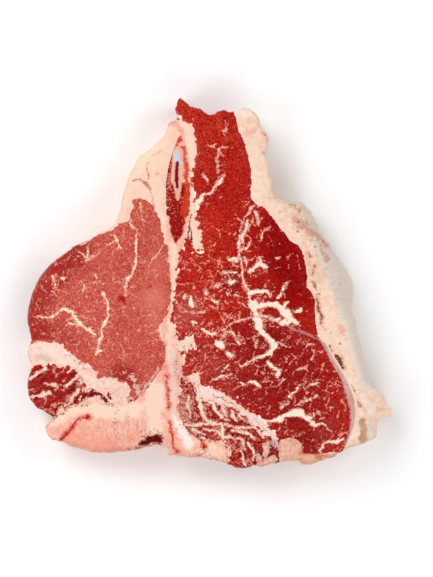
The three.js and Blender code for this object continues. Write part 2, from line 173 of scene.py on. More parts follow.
# %% Seams between two tissues
SEAMS = {
    "loin_cap": [
        CAP_TOP, (15.5, 84), (20, 72), (23, 56), (22.5, 46), (30.5, 39.5), (43.5, 24), (50, 17.5),
        (52.5, 6), (53, -1.5), (56.5, -7.5), (57, -18.5), SKIN_TOP],
    "loin_skin": [SKIN_TOP, (65.5, -42.5), (71.5, -53.5), (75, -65.5), (75.5, -78), CAP_FOOT],
    "skin_cap": [
        SKIN_TOP, (64, -33), (69.5, -43.5), (75, -52), (79.5, -62.5), (80, -73.5), (76.5, -82.5), CAP_FOOT],
    "loin_lower": [CAP_FOOT, (61, -92), (50.5, -91.5), (49.5, -86.5), (44, -83.5), CHINE_TIP],
    "loin_chine": [
        CHINE_TIP, (29.5, -75), (22, -68), (12, -61), (1.5, -56.5), (-4.5, -54.5), (-5, -50), STEM_FOOT],
    "loin_bone": [
        STEM_FOOT, (-12.5, -42.5), (-14.5, -36.5), (-6, -34), (-7.5, -29.5), (-15.5, -29.5), (-19, -21),
        (-18.5, -8), (-17.5, 6), STEM_TOP],
    "loin_fascia": [
        STEM_TOP, (-11.5, 24.5), (-7.5, 17.5), (-4, 19.5), (-5.5, 33), (-7.5, 43.5), (-9.5, 56), (-7, 64.5),
        (-5.5, 73), (-9, 83.5), (-13, 89), FASCIA_END],
    "bone_fascia": [STEM_TOP, (-12.5, 28), (-10.5, 38.5), (-10.5, 56), (-11.5, 72), BONE_TIP],
    "bone_suet": [BONE_TIP, (-19.5, 72), (-23, 58), (-23.5, 42.5), (-23, 29), STEM_LEFT],
    "fillet_suet": [
        FILLET_TOP, (-63, 25), (-51.5, 29.5), (-48.5, 33), (-43.5, 34.5), (-41.5, 41), (-41, 45.5),
        (-37, 46.5), (-32, 43), (-28.5, 38.5), (-26, 30), STEM_LEFT],
    "fillet_bone": [
        STEM_LEFT, (-22, 7.5), (-21, -7.5), (-24, -18.5), (-28, -23.5), (-26.5, -29.5), (-24, -34.5),
        (-25, -42.5), (-30.5, -52), FILLET_FOOT],
    "fillet_seam": [
        FILLET_FOOT, (-42, -59), (-44.5, -53.5), (-52.5, -51), (-60, -48.5), (-64, -43), (-71, -39.5),
        (-80, -33), (-88, -30.5), FILLET_LOW],
    "seam_bone": [FILLET_FOOT, (-43, -65), (-52.5, -66.5), (-62.5, -63.5), SIDE_TIP],
    "side_seam": [SIDE_TIP, (-68, -56.5), (-71, -49.5), (-78.5, -45.5), (-88, -44.5), SIDE_TOP],
    "side_bone": [BONE_LEFT, (-78.5, -67), SIDE_TIP],
    "chine_bone": [
        STEM_FOOT, (-16.5, -63), (-14, -76), (-7.5, -82.5), (2, -84.5), (9.5, -90), CHINE_LEFT],
    "chine_top": [
        STEM_FOOT, (-10.5, -54.5), (-6, -61.5), (2.5, -64), (12, -68), (21, -73.5), (28.5, -81.5),
        CHINE_END],
    "chine_join": [CHINE_END, CHINE_TIP],
    "chine_lumps": [CHINE_END, (28, -86.5), (25.5, -92), CHINE_RIGHT],
}
print(len(SEAMS), "seams")

# %% Outlines of the tissues
# An outline runs clockwise. A + marks a stretch of the rim, and a - a seam that is followed backwards.
OUTLINES = {
    "strip_loin": ["+loin_end", "loin_cap", "loin_skin", "loin_lower", "loin_chine", "loin_bone",
                   "loin_fascia"],
    "tenderloin": ["+fillet_edge", "fillet_suet", "fillet_bone", "fillet_seam"],
    "t_bone": ["+bone_foot", "side_bone", "-seam_bone", "-fillet_bone", "-bone_suet", "-bone_fascia",
               "-loin_bone", "chine_bone"],
    "fat_cap": ["+cap_edge", "-skin_cap", "-loin_cap"],
    "kidney_fat": ["+suet_edge", "-loin_fascia", "bone_fascia", "bone_suet", "-fillet_suet"],
    "seam_fat": ["+seam_edge", "-fillet_seam", "seam_bone", "side_seam"],
    "side_muscle": ["+side_edge", "-side_seam", "-side_bone"],
    "chine_muscle": ["+chine_foot", "-chine_bone", "chine_top", "chine_lumps"],
    "chine_fat": ["-loin_chine", "-chine_join", "-chine_top"],
    "silver_skin": ["skin_cap", "-loin_skin"],
    "lower_fat": ["+loin_foot", "-chine_lumps", "chine_join", "-loin_lower"],
}
print(len(OUTLINES), "outlines")

# %% [markdown]
# ## Ragged edges
# A saw doesn't leave a drawn line: the edge of a muscle wanders by a few tenths of a millimetre. Every
# curve is pushed by the same field of noise, so a seam moves the same way for both its neighbours, and
# curves that meet still meet.

# %% Sampled curves
EDGE_WANDER = 0.34  # mm that full noise pushes a seam
RIM_WANDER = {"loin_end": 1.0, "cap_edge": 0.6, "loin_foot": 0.8, "chine_foot": 0.7, "bone_foot": 0.6,
              "side_edge": 0.6, "seam_edge": 0.4, "fillet_edge": 0.25, "suet_edge": 0.6}
RIM_SAFETY = 0.1  # the rim keeps this much inside the construction model
WANDER_ROUNDS = 8  # times that each rim point's wander is averaged with its neighbours'


def wandered(curve, size):
    """Each point moved by noise fields, one pair for x and one for y, with cells of 5 and 2 mm."""
    x, y = curve[:, 0], curve[:, 1]
    moved = curve.copy()
    for axis in (0, 1):
        moved[:, axis] += size * (noise(x, y, 5.0, 11 + axis) + 0.6 * noise(x, y, 2.0, 21 + axis))
    return moved


def outward_of(loop):
    """Unit normals of a clockwise loop, pointing out: the line from the point three before to the point
    three after, turned a quarter turn to the left."""
    along = np.roll(loop[:, :2], -3, axis=0) - np.roll(loop[:, :2], 3, axis=0)
    normal = np.stack([-along[:, 1], along[:, 0]], axis=1)
    return normal / np.linalg.norm(normal, axis=1, keepdims=True)


rim_parts = {name: smooth_curve(points) for name, points in RIM.items()}
rim = np.vstack([part[:-1] for part in rim_parts.values()])
rim_out = outward_of(rim)
wander = np.concatenate([np.full(len(part) - 1, RIM_WANDER[name]) for name, part in rim_parts.items()])
for _ in range(WANDER_ROUNDS):
    wander = (np.roll(wander, 1) + wander + np.roll(wander, -1)) / 3
rim = wandered(rim, wander)
rim[:, :2] -= rim_out * (wander + RIM_SAFETY)[:, None]
firsts = np.cumsum([0] + [len(part) - 1 for part in rim_parts.values()])
rim_index = {name: np.arange(a, b + 1) % len(rim) for name, a, b in zip(rim_parts, firsts[:-1], firsts[1:])}
corner_of = {tuple(RIM[name][0][:2]): rim[rim_index[name][0], :2] for name in RIM}
seam_curves = {}
for name, points in SEAMS.items():
    curve = wandered(smooth_curve([p[:2] for p in points]), EDGE_WANDER)
    for end, place in ((0, points[0]), (-1, points[-1])):
        if tuple(place) in corner_of:
            curve[end] = corner_of[tuple(place)]
    seam_curves[name] = curve


def outline_of(name):
    """One tissue's closed outline, clockwise."""
    parts = []
    for entry in OUTLINES[name]:
        if entry[0] == "+":
            part = rim[rim_index[entry[1:]], :2]
        else:
            part = seam_curves[entry.lstrip("-")]
            part = part[::-1] if entry[0] == "-" else part
        parts.append(part[:-1])
    return np.vstack(parts)


print(len(rim), "points round the rim")

# %% [markdown]
# ## Distances
# Nearly all the shape and colour of meat depends on how far a place is from something: from the rim,
# from a seam, from a thread of fat. One function measures that for whole arrays of places. It finds the
# nearest point of the path and then the foot on the two legs beside it, so the answer is exact for a
# path of short legs.

# %% Distance to a path
BATCH = 4096  # places measured at once, which keeps the arrays small


def nearest_on(path, places, closed=False):
    """Distance from each place to a path in the plane, and the index of the foot along it, with a
    fraction."""
    count = len(path)
    least = np.empty(len(places))
    foot = np.empty(len(places))
    for start in range(0, len(places), BATCH):
        part = places[start : start + BATCH]
        near = np.argmin((part[:, :1] - path[:, 0]) ** 2 + (part[:, 1:] - path[:, 1]) ** 2, axis=1)
        best = np.full(len(part), np.inf)
        best_foot = near.astype(float)
        for back in (1, 0):
            a = (near - back) % count if closed else np.clip(near - back, 0, count - 2)
            b = (a + 1) % count
            leg = path[b] - path[a]
            share = np.sum((part - path[a]) * leg, axis=1) / np.maximum(np.sum(leg * leg, axis=1), 1e-12)
            share = np.clip(share, 0, 1)
            away = np.linalg.norm(part - path[a] - leg * share[:, None], axis=1)
            best_foot = np.where(away < best, a + share, best_foot)
            best = np.minimum(best, away)
        least[start : start + BATCH] = best
        foot[start : start + BATCH] = best_foot
    return least, foot


def rim_near(places):
    """Distance from each place to the rim, and the rim's lean at the nearest point, both in mm."""
    inset, foot = nearest_on(rim[:, :2], places, closed=True)
    return inset, np.interp(foot, np.arange(len(rim) + 1), np.r_[rim[:, 2], rim[0, 2]])


print("the rim leans by", round(rim[:, 2].min(), 1), "to", round(rim[:, 2].max(), 1), "mm")

# %% Depth inside a stroke
FAR_OUTSIDE = -3.0  # mm, the depth where no stroke is near
STROKE_STEP = 0.5  # mm between points of a stroke
STROKE_MARGIN = 2.5  # mm round a stroke in which its depth is measured
DOT = [[0, 0], [0, 0.1]]  # a stroke of one point is this short line
SWELL_CELL = 2.2  # mm along a stroke from one swelling to the next
LANE = 7.3  # mm of noise between one stroke's swellings and the next one's


def stroke_field(strokes, places, unevenness=0.4):
    """How deep each place lies inside some strokes, in mm: positive inside, negative outside, and the
    largest where they overlap. A stroke is a smooth line with a width at both ends. Between them the
    width changes evenly, and swells and thins by up to the unevenness every few millimetres."""
    field = np.full(len(places), FAR_OUTSIDE)
    for number, (points, width, *end_width) in enumerate(strokes):
        if len(points) > 1:
            line = smooth_curve(points, STROKE_STEP)
        else:
            line = np.array([points[0], points[0]]) + DOT
        half = np.linspace(width, end_width[0] if end_width else width, len(line)) / 2
        margin = STROKE_MARGIN + half.max()
        low, high = line.min(axis=0) - margin, line.max(axis=0) + margin
        near = np.flatnonzero(np.all((places > low) & (places < high), axis=1))
        if len(near) == 0:
            continue
        away, foot = nearest_on(line, places[near])
        lane = np.full(len(foot), number * LANE)
        uneven = 1 + unevenness * noise(foot * STROKE_STEP, lane, SWELL_CELL, 81)
        inside = np.interp(foot, np.arange(len(line)), half) * uneven - away
        field[near] = np.maximum(field[near], inside)
    return field


def shaken(places):
    """Where a place reads the strokes: moved by noise with cells of 3.6, 1.7 and 0.9 mm, so that no line
    stays smooth."""
    x, y = places.T
    shift = [0.8 * noise(x, y, 3.6, 61 + axis) + 0.45 * noise(x, y, 1.7, 63 + axis)
             + 0.25 * noise(x, y, 0.9, 65 + axis) for axis in (0, 1)]
    return places + np.stack(shift, axis=1)


print("a stroke has a point every", STROKE_STEP, "mm")

# %% Frayed borders
# How far the border swings to either side of a seam, in mm. Both neighbours read the same number.
FRAY = {
    "loin_cap": 0.5, "loin_lower": 1.6, "loin_chine": 2.6, "loin_bone": 2.6, "loin_fascia": 2.3,
    "fillet_suet": 0.8, "fillet_bone": 0.8, "fillet_seam": 1.9, "side_seam": 2.4, "side_bone": 1.4,
    "chine_bone": 2.2, "chine_top": 2.8, "chine_lumps": 1.6,
}
# Seams that stay crisp, and how many times over the depth counts there.
CRISP = {"loin_cap": 3.5, "fillet_suet": 3, "fillet_bone": 1.6, "loin_fascia": 1.5}
# How far the border is moved off a seam, in mm. Below 0 the meat covers the pale side.
OVERGROWN = {"loin_bone": -0.7, "fillet_bone": -0.3, "fillet_seam": -1.2}


def fringe(seams, side):
    """How far the neighbour's tissue has grown over some seams, in mm. The border swings to either side
    of a seam by noise, and both neighbours read the same noise: side 1 for one of them, -1 for the
    other. Along a crisp seam the depth counts several times over, so the fraying of the material
    hardly moves it."""
    def field(places):
        x, y = places.T
        swing = 0.75 * noise(x, y, 3.2, 71) + 0.55 * noise(x, y, 1.5, 72) + 0.25 * noise(x, y, 0.8, 73)
        return np.max([CRISP.get(name, 1) * (side * (FRAY[name] * swing + OVERGROWN.get(name, 0))
                                             - nearest_on(seam_curves[name], places)[0])
                       for name in seams], axis=0)
    return field


print(len(FRAY), "frayed seams")

# %% [markdown]
# ## The marks on each tissue
# Veins of fat, gristle, blood and slits are strokes: a smooth line with a width at its start and its
# end, all in mm. They are placed where the real slice has them. The mesh keeps for each point its
# depth inside the nearest stroke, and the material turns that into colour with a ragged edge.

# %% Marks on the strip loin
LOIN_VEINS = [
    ([(8.9, 87.8), (9.5, 83.4), (7.8, 81.3), (8.9, 78)], 0.4),
    ([(-0.3, 74.2), (1.9, 73.4), (3.5, 74.8)], 1.1),
    ([(8.9, 73.7), (6.2, 72.6), (5.1, 69.4), (3.5, 66.7), (4.6, 63.5), (5.1, 60.2)], 1.0, 0.7),
    ([(8.4, 59.1), (6.2, 55.9), (3, 52.1), (0.8, 48.9), (-2.4, 48.3), (-5.1, 45.1), (-6.8, 44)], 1.0, 3.0),
    ([(-3.5, 58.6), (-0.8, 55.4)], 1.6),
    ([(23.5, 42.9), (21.3, 38.6), (18.1, 33.8), (17, 30), (15.9, 21.9), (16.5, 17.6), (16.5, 11.6)], 0.9),
    ([(16.5, 11.6), (17.4, 6.2), (18.8, 1.4), (20.4, -3), (21.3, -7.8), (22.8, -10.5)], 0.8, 1.2),
    ([(20.2, 33), (18.8, 27.8), (17.4, 22.4)], 1.3, 1.6),
    ([(25.1, 39.7), (26.4, 36), (26.2, 32.4)], 1.4, 1.6),
    ([(14.9, 34.8), (17.6, 33.8)], 0.8),
    ([(19.7, 28.9), (21.9, 32.1), (23.5, 34.8)], 0.8),
    ([(16.5, 17.6), (19.5, 19.2), (22.4, 21.9)], 1.3, 0.7),
    ([(26.7, 21.9), (28.4, 24.6), (29.4, 27.8), (31.6, 30), (33.2, 31.1)], 0.6),
    ([(10.5, 13), (14.9, 13)], 1.8),
    ([(7.3, 6.2), (11.1, 5.7), (14.3, 6.2)], 1.1),
    ([(10.9, 0.3), (13.4, 0.6)], 2.6),
    ([(19.2, 13.8), (20.2, 9.5)], 0.8),
    ([(21.9, 5.7), (24.9, 8.4), (27.3, 10.5), (30.9, 9.7)], 1.6, 1.8),
    ([(27.6, 10.5), (27.6, 13.8)], 1.4, 0.8),
    ([(35.7, 13.8), (37.7, 13.8)], 0.9),
    ([(43.1, 1.4), (40.4, -2.4), (38.4, -6.5), (37, -7.8)], 0.5, 1.8),
    ([(21.9, -5.1), (27.3, -4.6), (30, -3.5), (32.7, -6.5)], 3.2, 0.9),
    ([(23.8, -11.5), (24.5, -14.5), (26, -17)], 3.8, 2.6),
    ([(23.5, -11.9), (26.2, -12.5), (28.9, -11.9), (33.2, -11.3), (37, -12.5), (39.7, -14.9)], 2.6, 3.2),
    ([(39.7, -14.9), (42.4, -17.3), (44, -19.7), (47.4, -21.8)], 5.0, 2.0),
    ([(33, -19), (37, -20.8), (41, -21), (45, -19.8)], 1.2, 2.4),
    ([(39.7, -13.2), (41.7, -11.1), (43.1, -9.8)], 2.8, 0.8),
    ([(24, -16), (29.4, -17.3), (33.8, -19.2), (38.1, -19.2)], 1.2),
    ([(46.5, -20.8), (49.4, -22.7)], 2, 1.2),
    ([(46.7, -14.9), (48.9, -14.4)], 1.9),
    ([(25.5, -17.3), (20.1, -18.6), (15.4, -20.2), (10.5, -22.7), (6.8, -25.7)], 0.9, 0.5),
    ([(25.8, -18.8), (27.3, -24), (30.3, -28.1), (33.8, -31.6), (35, -34.1)], 6.0, 2.8),
    ([(35, -34.1), (33.2, -37), (28.9, -39.5), (24.2, -40.8), (20.1, -42.9), (15.9, -44.9)], 2.4, 0.6),
    ([(-3.5, -25.1), (-0.8, -26.2), (2.6, -27.3)], 1.7, 1.2),
    ([(4.8, -32.4), (6.6, -32.9)], 4, 3),
    ([(7.3, -29.4), (9.5, -27.3), (12.2, -26.7), (14.7, -30), (15.9, -32.7)], 0.9),
    ([(24.6, -34.1), (26.1, -31.1)], 1.2),
    ([(9.9, -37.5), (12.2, -38.9)], 1.8),
    ([(32.1, -42.4), (34.3, -44.9), (37, -47.8), (37, -50.5)], 2.2, 1.4),
    ([(36.3, -31.6), (42.9, -33.8)], 0.7),
    ([(52.5, -34.1), (54.3, -32.9), (57.3, -33.5)], 0.7),
    ([(55.9, -35.9), (57.5, -37.5), (54.8, -41.3)], 0.6),
    ([(46.2, -46.7), (52.1, -46.2)], 0.7),
    ([(1.9, -51.6), (5.7, -50.3), (11.6, -49.1)], 1.1),
    ([(6.8, -47.2), (10.5, -44.3)], 0.7),
    ([(15.9, -53.7), (18.8, -54.5)], 1.2),
    ([(21.3, -53.7), (24.2, -53.2), (27.3, -55.7)], 1.7),
    ([(37, -55.1), (39.7, -52.1)], 0.9),
    ([(43.5, -60.5), (46.5, -57), (49.4, -54.5)], 1.1),
    ([(53.2, -56.4), (58.6, -52.7)], 0.8),
    ([(45.6, -65.6), (50, -63.5), (54.3, -61.8), (58.6, -60.2)], 0.7),
    ([(38.6, -67.2), (41.3, -65.6)], 0.7),
    ([(27.8, -74.2), (32.7, -74.2), (38.1, -73.2), (41.1, -71.3), (44.6, -70.5)], 1.2, 3.2),
    ([(44.6, -70.5), (48.9, -69.9), (51.9, -72.6), (54.3, -74.8), (57.3, -76.7)], 3.8, 1.8),
    ([(53.2, -73.2), (55.4, -71.6), (59.1, -68.9)], 1.2, 0.6),
    ([(57, -75.9), (58.6, -75.9), (62.4, -77), (65.6, -78.6)], 1.1, 0.5),
    ([(61.3, -85.6), (65.1, -85.6), (69.4, -85.1), (71.6, -83.4)], 1.2, 2),
    ([(61.3, -86.1), (59.7, -91)], 1.2),
    ([(-12.9, -5.7), (-13.2, -8.4)], 0.9),
    ([(-10.5, -7.8), (-8.9, -12.5)], 1.7),
    ([(-2.1, -3.5), (-1.5, -5.9)], 1.6),
    ([(3.3, -1.7), (5.7, -1.1)], 1.1),
    ([(1.9, -9.2), (4.5, -10)], 1.1),
    ([(8.7, -5.1), (10.5, -6.5)], 1.1),
    ([(14.1, -5.9), (15.9, -6.5)], 1.1),
    ([(-5.7, -15.4), (-3, -15.9)], 1.1),
    ([(-10.5, -21.3), (-6.9, -20.8)], 1.1),
]
LOIN_GRISTLE = [
    ([(23, -16.7), (29.4, -17.9), (36.3, -20.4), (42.3, -23), (48.3, -26.2), (53.7, -28.1),
      (60, -30.5)], 0.6, 1.4),
]
print(len(LOIN_VEINS), "veins in the strip loin")

# %% Marks on the tenderloin
FILLET_VEINS = [
    ([(-57.5, -5.1), (-55.9, -8.9), (-54.8, -13.2), (-54.8, -17.6), (-56.4, -21.3)], 0.9, 1.9),
    ([(-56.4, -21.3), (-58.1, -25.7), (-59.1, -30.5), (-60.2, -34.3), (-61.3, -37.5)], 1.2),
    ([(-45.6, -6.8), (-45.6, -2.4), (-44.6, 1.9), (-42.4, 4.6), (-40.8, 8.4), (-39.7, 12.7)], 0.9, 1.5),
    ([(-39.7, 12.7), (-39.2, 18.1), (-39.2, 23.5), (-38.6, 28.9), (-42.4, 32.1), (-42.9, 34.8)], 1.1, 0.6),
    ([(-93.2, -18.1), (-89.4, -18.6), (-85.6, -18.1), (-83.4, -15.9), (-80.7, -14.3)], 0.6, 1.2),
    ([(-80.7, -14.3), (-77.5, -13.8), (-74.8, -14.9), (-72.6, -18.1), (-70.5, -20.8)], 1.2, 1.8),
    ([(-70.5, -20.8), (-68.3, -23.5), (-64.5, -25.1), (-61.8, -27.8)], 1.8, 1.3),
    ([(-77.5, -22.4), (-73.7, -21.9), (-70.5, -21.3)], 0.8, 1.4),
    ([(-37, 42.9), (-36.5, 38.6), (-35.9, 34.3)], 0.5),
    ([(-55.4, 21.3), (-52.1, 22.4), (-50, 23)], 1),
    ([(-52.1, 25.7), (-50.5, 22.4), (-48.9, 20.2), (-47.2, 18.1)], 0.8),
    ([(-69.9, 17), (-67.2, 14.9), (-64.5, 13.2)], 0.8),
    ([(-65.6, 19.7), (-65.6, 15.4)], 0.7),
    ([(-65.1, 14.9), (-61.8, 14.9), (-59.1, 16.5)], 0.8),
    ([(-66.7, 11.6), (-65.1, 14.3)], 0.8),
    ([(-79.7, 2.4), (-78.6, 2.4)], 1.8),
    ([(-84.5, 3.5), (-84, -0.3), (-82.9, -3)], 0.8),
    ([(-85.1, -4.6), (-82.9, -6.2)], 0.8),
    ([(-67.8, -0.3), (-68.3, -4.1)], 0.9),
    ([(-61.8, 5.7), (-60.8, 3.5)], 0.9),
    ([(-60.8, -36.5), (-57.5, -35.9)], 1),
]
FILLET_BLOOD = [
    ([(-47.6, -8.2), (-46.8, -8.8)], 2.3),
    ([(-85, 6.5), (-79.7, 8.4), (-77.5, 10.5)], 0.7),
    ([(-64.5, 1.4), (-62.4, 3.5)], 0.6),
    ([(-69.2, 17.6), (-67.6, 19.4)], 0.8),
    ([(-32.6, -2), (-31.2, -1.2)], 0.7),
]
print(len(FILLET_VEINS), "veins in the tenderloin")

# %% Marks on the small muscles and the seam fat
SIDE_STREAKS = [
    ([(-96.4, -51), (-92.6, -48.3), (-88.3, -45.6)], 1.2),
    ([(-77.5, -55.9), (-75.3, -54.3), (-71.6, -50)], 1.6),
    ([(-96.9, -61.3), (-91.5, -60.2), (-86.1, -59.1)], 1.9),
    ([(-88.8, -54.3), (-82.9, -54.8)], 1.5),
    ([(-82, -69.4), (-77, -65.4), (-73.6, -62), (-71, -57)], 1.0, 1.8),
]
SEAM_MEAT = [
    ([(-70.5, -63.4), (-67.4, -60.4), (-62.6, -59), (-59, -60.4), (-56, -63)], 2.2, 3.0),
    ([(-54.8, -59.6), (-53.4, -62)], 1.5),
    ([(-71, -64.4), (-76, -67.4)], 1.2, 0.6),
    ([(-57, -66), (-52.4, -66)], 1),
    ([(-44, -64), (-41, -62.4), (-38.4, -59.6)], 1.0),
]
SEAM_LINES = [
    ([(-82, -73), (-76, -69), (-71, -65.8)], 0.8, 0.5),
    ([(-80, -74), (-72, -69.4), (-62, -65.6), (-52, -64.4)], 0.5, 0.3),
    ([(-76, -47), (-72, -52), (-70.4, -58)], 0.6),
    ([(-72, -58.6), (-66, -57), (-60, -57.6)], 0.5, 0.2),
    ([(-78, -38), (-70, -43), (-64, -47.6)], 0.15),
    ([(-44, -62), (-40, -58), (-36.5, -57)], 0.7),
]
SEAM_SMUDGE = [([(-92, -39.6), (-87, -40.6)], 3)]
CHINE_STRANDS = [
    ([(-5, -58), (-4.6, -65.6), (-3.5, -71), (-0.8, -73.7), (3, -74.8)], 3.2, 1.6),
    ([(1.5, -63), (2.4, -65.6), (4.1, -69.4), (6.8, -72.1), (11.1, -74.2)], 2.6, 1.4),
    ([(6.4, -64), (7.6, -68.9), (9.6, -71.4)], 2, 1.2),
    ([(10.4, -65.6), (12.4, -69.9), (14.3, -73.7)], 2.2, 1.3),
    ([(15.4, -68.6), (17, -72), (19.6, -75)], 1.8, 1),
    ([(19.6, -71.4), (21.6, -75), (24.4, -77.6)], 1.6, 1),
    ([(-13, -76.5), (-7.8, -75.9), (1.9, -75.3), (12.2, -77.5), (24.6, -78)], 1.6, 1.2),
    ([(24.6, -78), (29, -82)], 2.2, 1.4),
    ([(6.8, -78), (7.8, -82.4), (12.2, -83.4), (16.5, -83.4), (19.7, -89.9)], 1.9, 1.2),
    ([(17.6, -89.9), (18.6, -98)], 1.4),
    ([(-3, -79), (4, -79.6), (9, -86), (11, -93)], 1.5, 1.1),
    ([(12, -79.6), (19, -80.4), (24.5, -84)], 1.6, 1.2),
    ([(21, -86), (24, -91), (23.5, -96)], 1.3, 1),
    ([(-11, -60), (-12, -66), (-10, -72)], 1.6, 1),
    ([(-9, -79), (-3, -82)], 1.4, 1),
]
CHINE_GRISTLE = [([(17.6, -68.3), (23, -71.6), (28.4, -76.4), (32.7, -81.3), (37, -85)], 0.9, 1.6)]
print(len(CHINE_STRANDS), "strands in the chine muscle")

# %% Marks on the bone
BONE_MARROW = [
    ([(-80.2, -84.5), (-75.3, -79.1), (-71.1, -73.7), (-65.7, -72.2)], 2.2, 2.8),
    ([(-23, -49.4), (-23, -54.8), (-22.4, -59.1), (-22.4, -62.9), (-21.9, -66.7)], 1.7),
    ([(-21.9, -74.8), (-20.8, -79.1), (-20.2, -81.8), (-19.7, -86.1), (-19.2, -88.8), (-17, -91)], 2),
    ([(-4.6, -84), (-2.8, -88)], 2.8),
    ([(-6.2, -93.2), (-5.1, -93.2)], 1.8),
    ([(-1.5, -95), (4, -96)], 1.4),
]
FINGER_MARROW = [
    ([(-19.4, 72.5), (-21.2, 64), (-22.4, 54), (-22.2, 44)], 1.6, 4.2),
    ([(-17.2, 48), (-17.2, 40), (-17.4, 33)], 11, 10.4),
    ([(-17.4, 33), (-17.6, 27.5), (-18.2, 22.5)], 10.4, 1.2),
]
FINGER_ORANGE = [
    ([(-14, 73), (-12.9, 64), (-12.1, 52), (-12.4, 44), (-13.4, 37)], 2.6, 3.8),
    ([(-16.8, 77.6), (-17.2, 75)], 3.0, 2.6),
]
BONE_DARK = [([(-37, -86.6), (-32.4, -84.6), (-28, -84.2)], 2.0, 4.2)]
BONE_SLIT = [([(-17.4, 65), (-17.8, 58.6), (-17.4, 52)], 1.6, 1.9)]
BONE_CAPSULE = [
    ([(-17.0, 70.6), (-17.3, 67), (-17.6, 62), (-17.5, 55)], 5.6, 5.4),
    ([(-17.5, 55), (-17.3, 50.5), (-17.2, 45.6)], 5.4, 1.6),
]
BONE_CREAM = [
    ([(-15, -32.6), (-9.5, -32.4), (-11.5, -37), (-14.5, -42)], 6, 3),
    ([(-19.5, 20), (-19.5, 6), (-19.5, -12), (-21, -26), (-22, -40)], 3.6, 3),
    ([(-30, -58), (-30, -70), (-29, -77)], 12, 8),
    ([(-5, -92), (4, -94.6)], 4),
    ([(0, -87), (6, -91)], 3),
    ([(-84, -74), (-70, -68), (-52, -70), (-40, -68)], 5, 8),
]
BONE_CARTILAGE = [
    ([(-19, -72.4), (-17.1, -75.9), (-14.6, -79.6), (-12.6, -83.4), (-11, -87.4)], 1.8, 6.4),
]
print(len(BONE_MARROW) + len(FINGER_MARROW), "runs of marrow")

# %% Marks on the fat
CAP_SLITS = [
    ([(68.7, -39.5), (70.5, -41.9), (72.6, -45.5)], 1.7),
    ([(65.1, -34.1), (66.6, -37)], 0.9),
    ([(76.6, -55.6), (78.4, -58.6)], 0.9),
    ([(80, -63), (81.6, -66.6)], 0.7),
    ([(58.1, -9.5), (59.1, -13.8), (60.2, -17), (60.8, -20.8)], 1.2),
    ([(55.6, 1.4), (57, -2.4)], 0.7),
    ([(55.9, 5.7), (57, 9.5)], 0.7),
    ([(53.7, 17), (54.3, 14.3)], 0.6),
    ([(71, -88.8), (72.8, -87.2)], 0.8),
]
CAP_DOTS = [
    ([place], 0.8) for place in (
        (58.6, -6.2), (65.6, -26.2), (71, -26.2), (70.5, -32.7), (38.6, 38.1), (46.2, 42.4), (48.9, 39.2),
        (63, 23.6), (65, 21.4), (66.4, 18.8), (52, 33), (50, 30.4),
        (47.8, 33.2), (47.8, 27.8), (54.8, 23), (57, 20.2), (60.8, 20.2), (62.4, 23), (30, 80.2),
        (29.2, 71), (34.2, 59.1), (35, 46.7))
]
CAP_PINK = [
    ([(23, 82.4), (20, 82)], 3),
    ([(29, 80.6), (30.4, 78)], 2),
    ([(27, 74.8), (28.6, 70)], 1.8),
    ([(32.6, 47.4), (31.8, 45.4)], 1.8),
    ([(50.4, 24), (52.6, 15), (54.6, 8)], 1.6),
    ([(58.4, -6), (60, -16), (61.4, -24)], 2.2, 3),
    ([(70.4, -24), (72, -27)], 2.6),
    ([(60.6, 20.6), (66, 20), (69, 17)], 2),
    ([(80, -65.4), (84, -67.6), (89.4, -68.9), (94.8, -67.8)], 1.2),
    ([(84, -62), (88, -66)], 2.2),
]
CAP_STAINS = [
    ([(47, 34), (51, 31), (54, 28)], 3.2),
    ([(56, 27), (60, 25), (66, 20)], 3.8, 2.4),
    ([(44, 43), (49, 40)], 1.8),
    ([(61, 18), (64, 13)], 1.8),
    ([(76, 3), (77, -2)], 1.2),
]
CAP_RECESS = [([(82.6, -75), (83.4, -80.2), (83.2, -85.5)], 2.6, 3.6)]
CAP_FOLD = [
    ([(81.8, -70.7), (82.5, -73.7), (80.7, -79.7), (77.1, -82.7)], 1.6),
    ([(15, 93.6), (21, 92.8)], 4.4),
    ([(83, -62), (88, -69)], 5),
]
# Creases of the kidney fat: dug into the mesh, and their shade painted in as a tan line.
SUET_CREASES = [
    ([(-41.3, 55.4), (-37.5, 55.9), (-34.3, 52.7), (-32.1, 50.5), (-31.1, 46.7), (-30, 42.4)], 0.6, 0.5),
    ([(-35, 54.4), (-32.4, 51)], 1.1, 0.7),
    ([(-33.8, 65.1), (-33.2, 60.2), (-32.7, 55.9)], 0.5),
    ([(-31.1, 68.9), (-27.8, 70.5), (-25.1, 72.1)], 0.3),
]
SUET_PINK = [
    ([(-22.4, 86.4), (-18.6, 86.4), (-14.8, 83), (-13.4, 80)], 2.4, 1.8),
    ([(-28.4, 59.7)], 0.9),
    ([(-47.6, 46.7)], 1.6),
]
SUET_MEAT = [
    ([(-9.2, 37), (-10.6, 31), (-12.2, 26)], 0.5, 0.8),
    ([(-11.6, 25), (-12.6, 18)], 0.9, 0.6),
    ([(-10, 29), (-10, 24), (-9, 19.4)], 1.3, 1.0),
]
print(len(CAP_SLITS), "slits and", len(CAP_DOTS), "pits in the fat cap")

# %% [markdown]
# ## Fine marbling
# Between the veins that can be named one by one, the strip loin is full of short threads of fat. They
# can't be placed by hand, so each is grown: it starts anywhere in the muscle, heads off at a random
# angle, and turns a little with every step. The draw is seeded, so it always gives the same steak.

# %% Random threads of fat
LEGS = 3  # straight steps in one thread


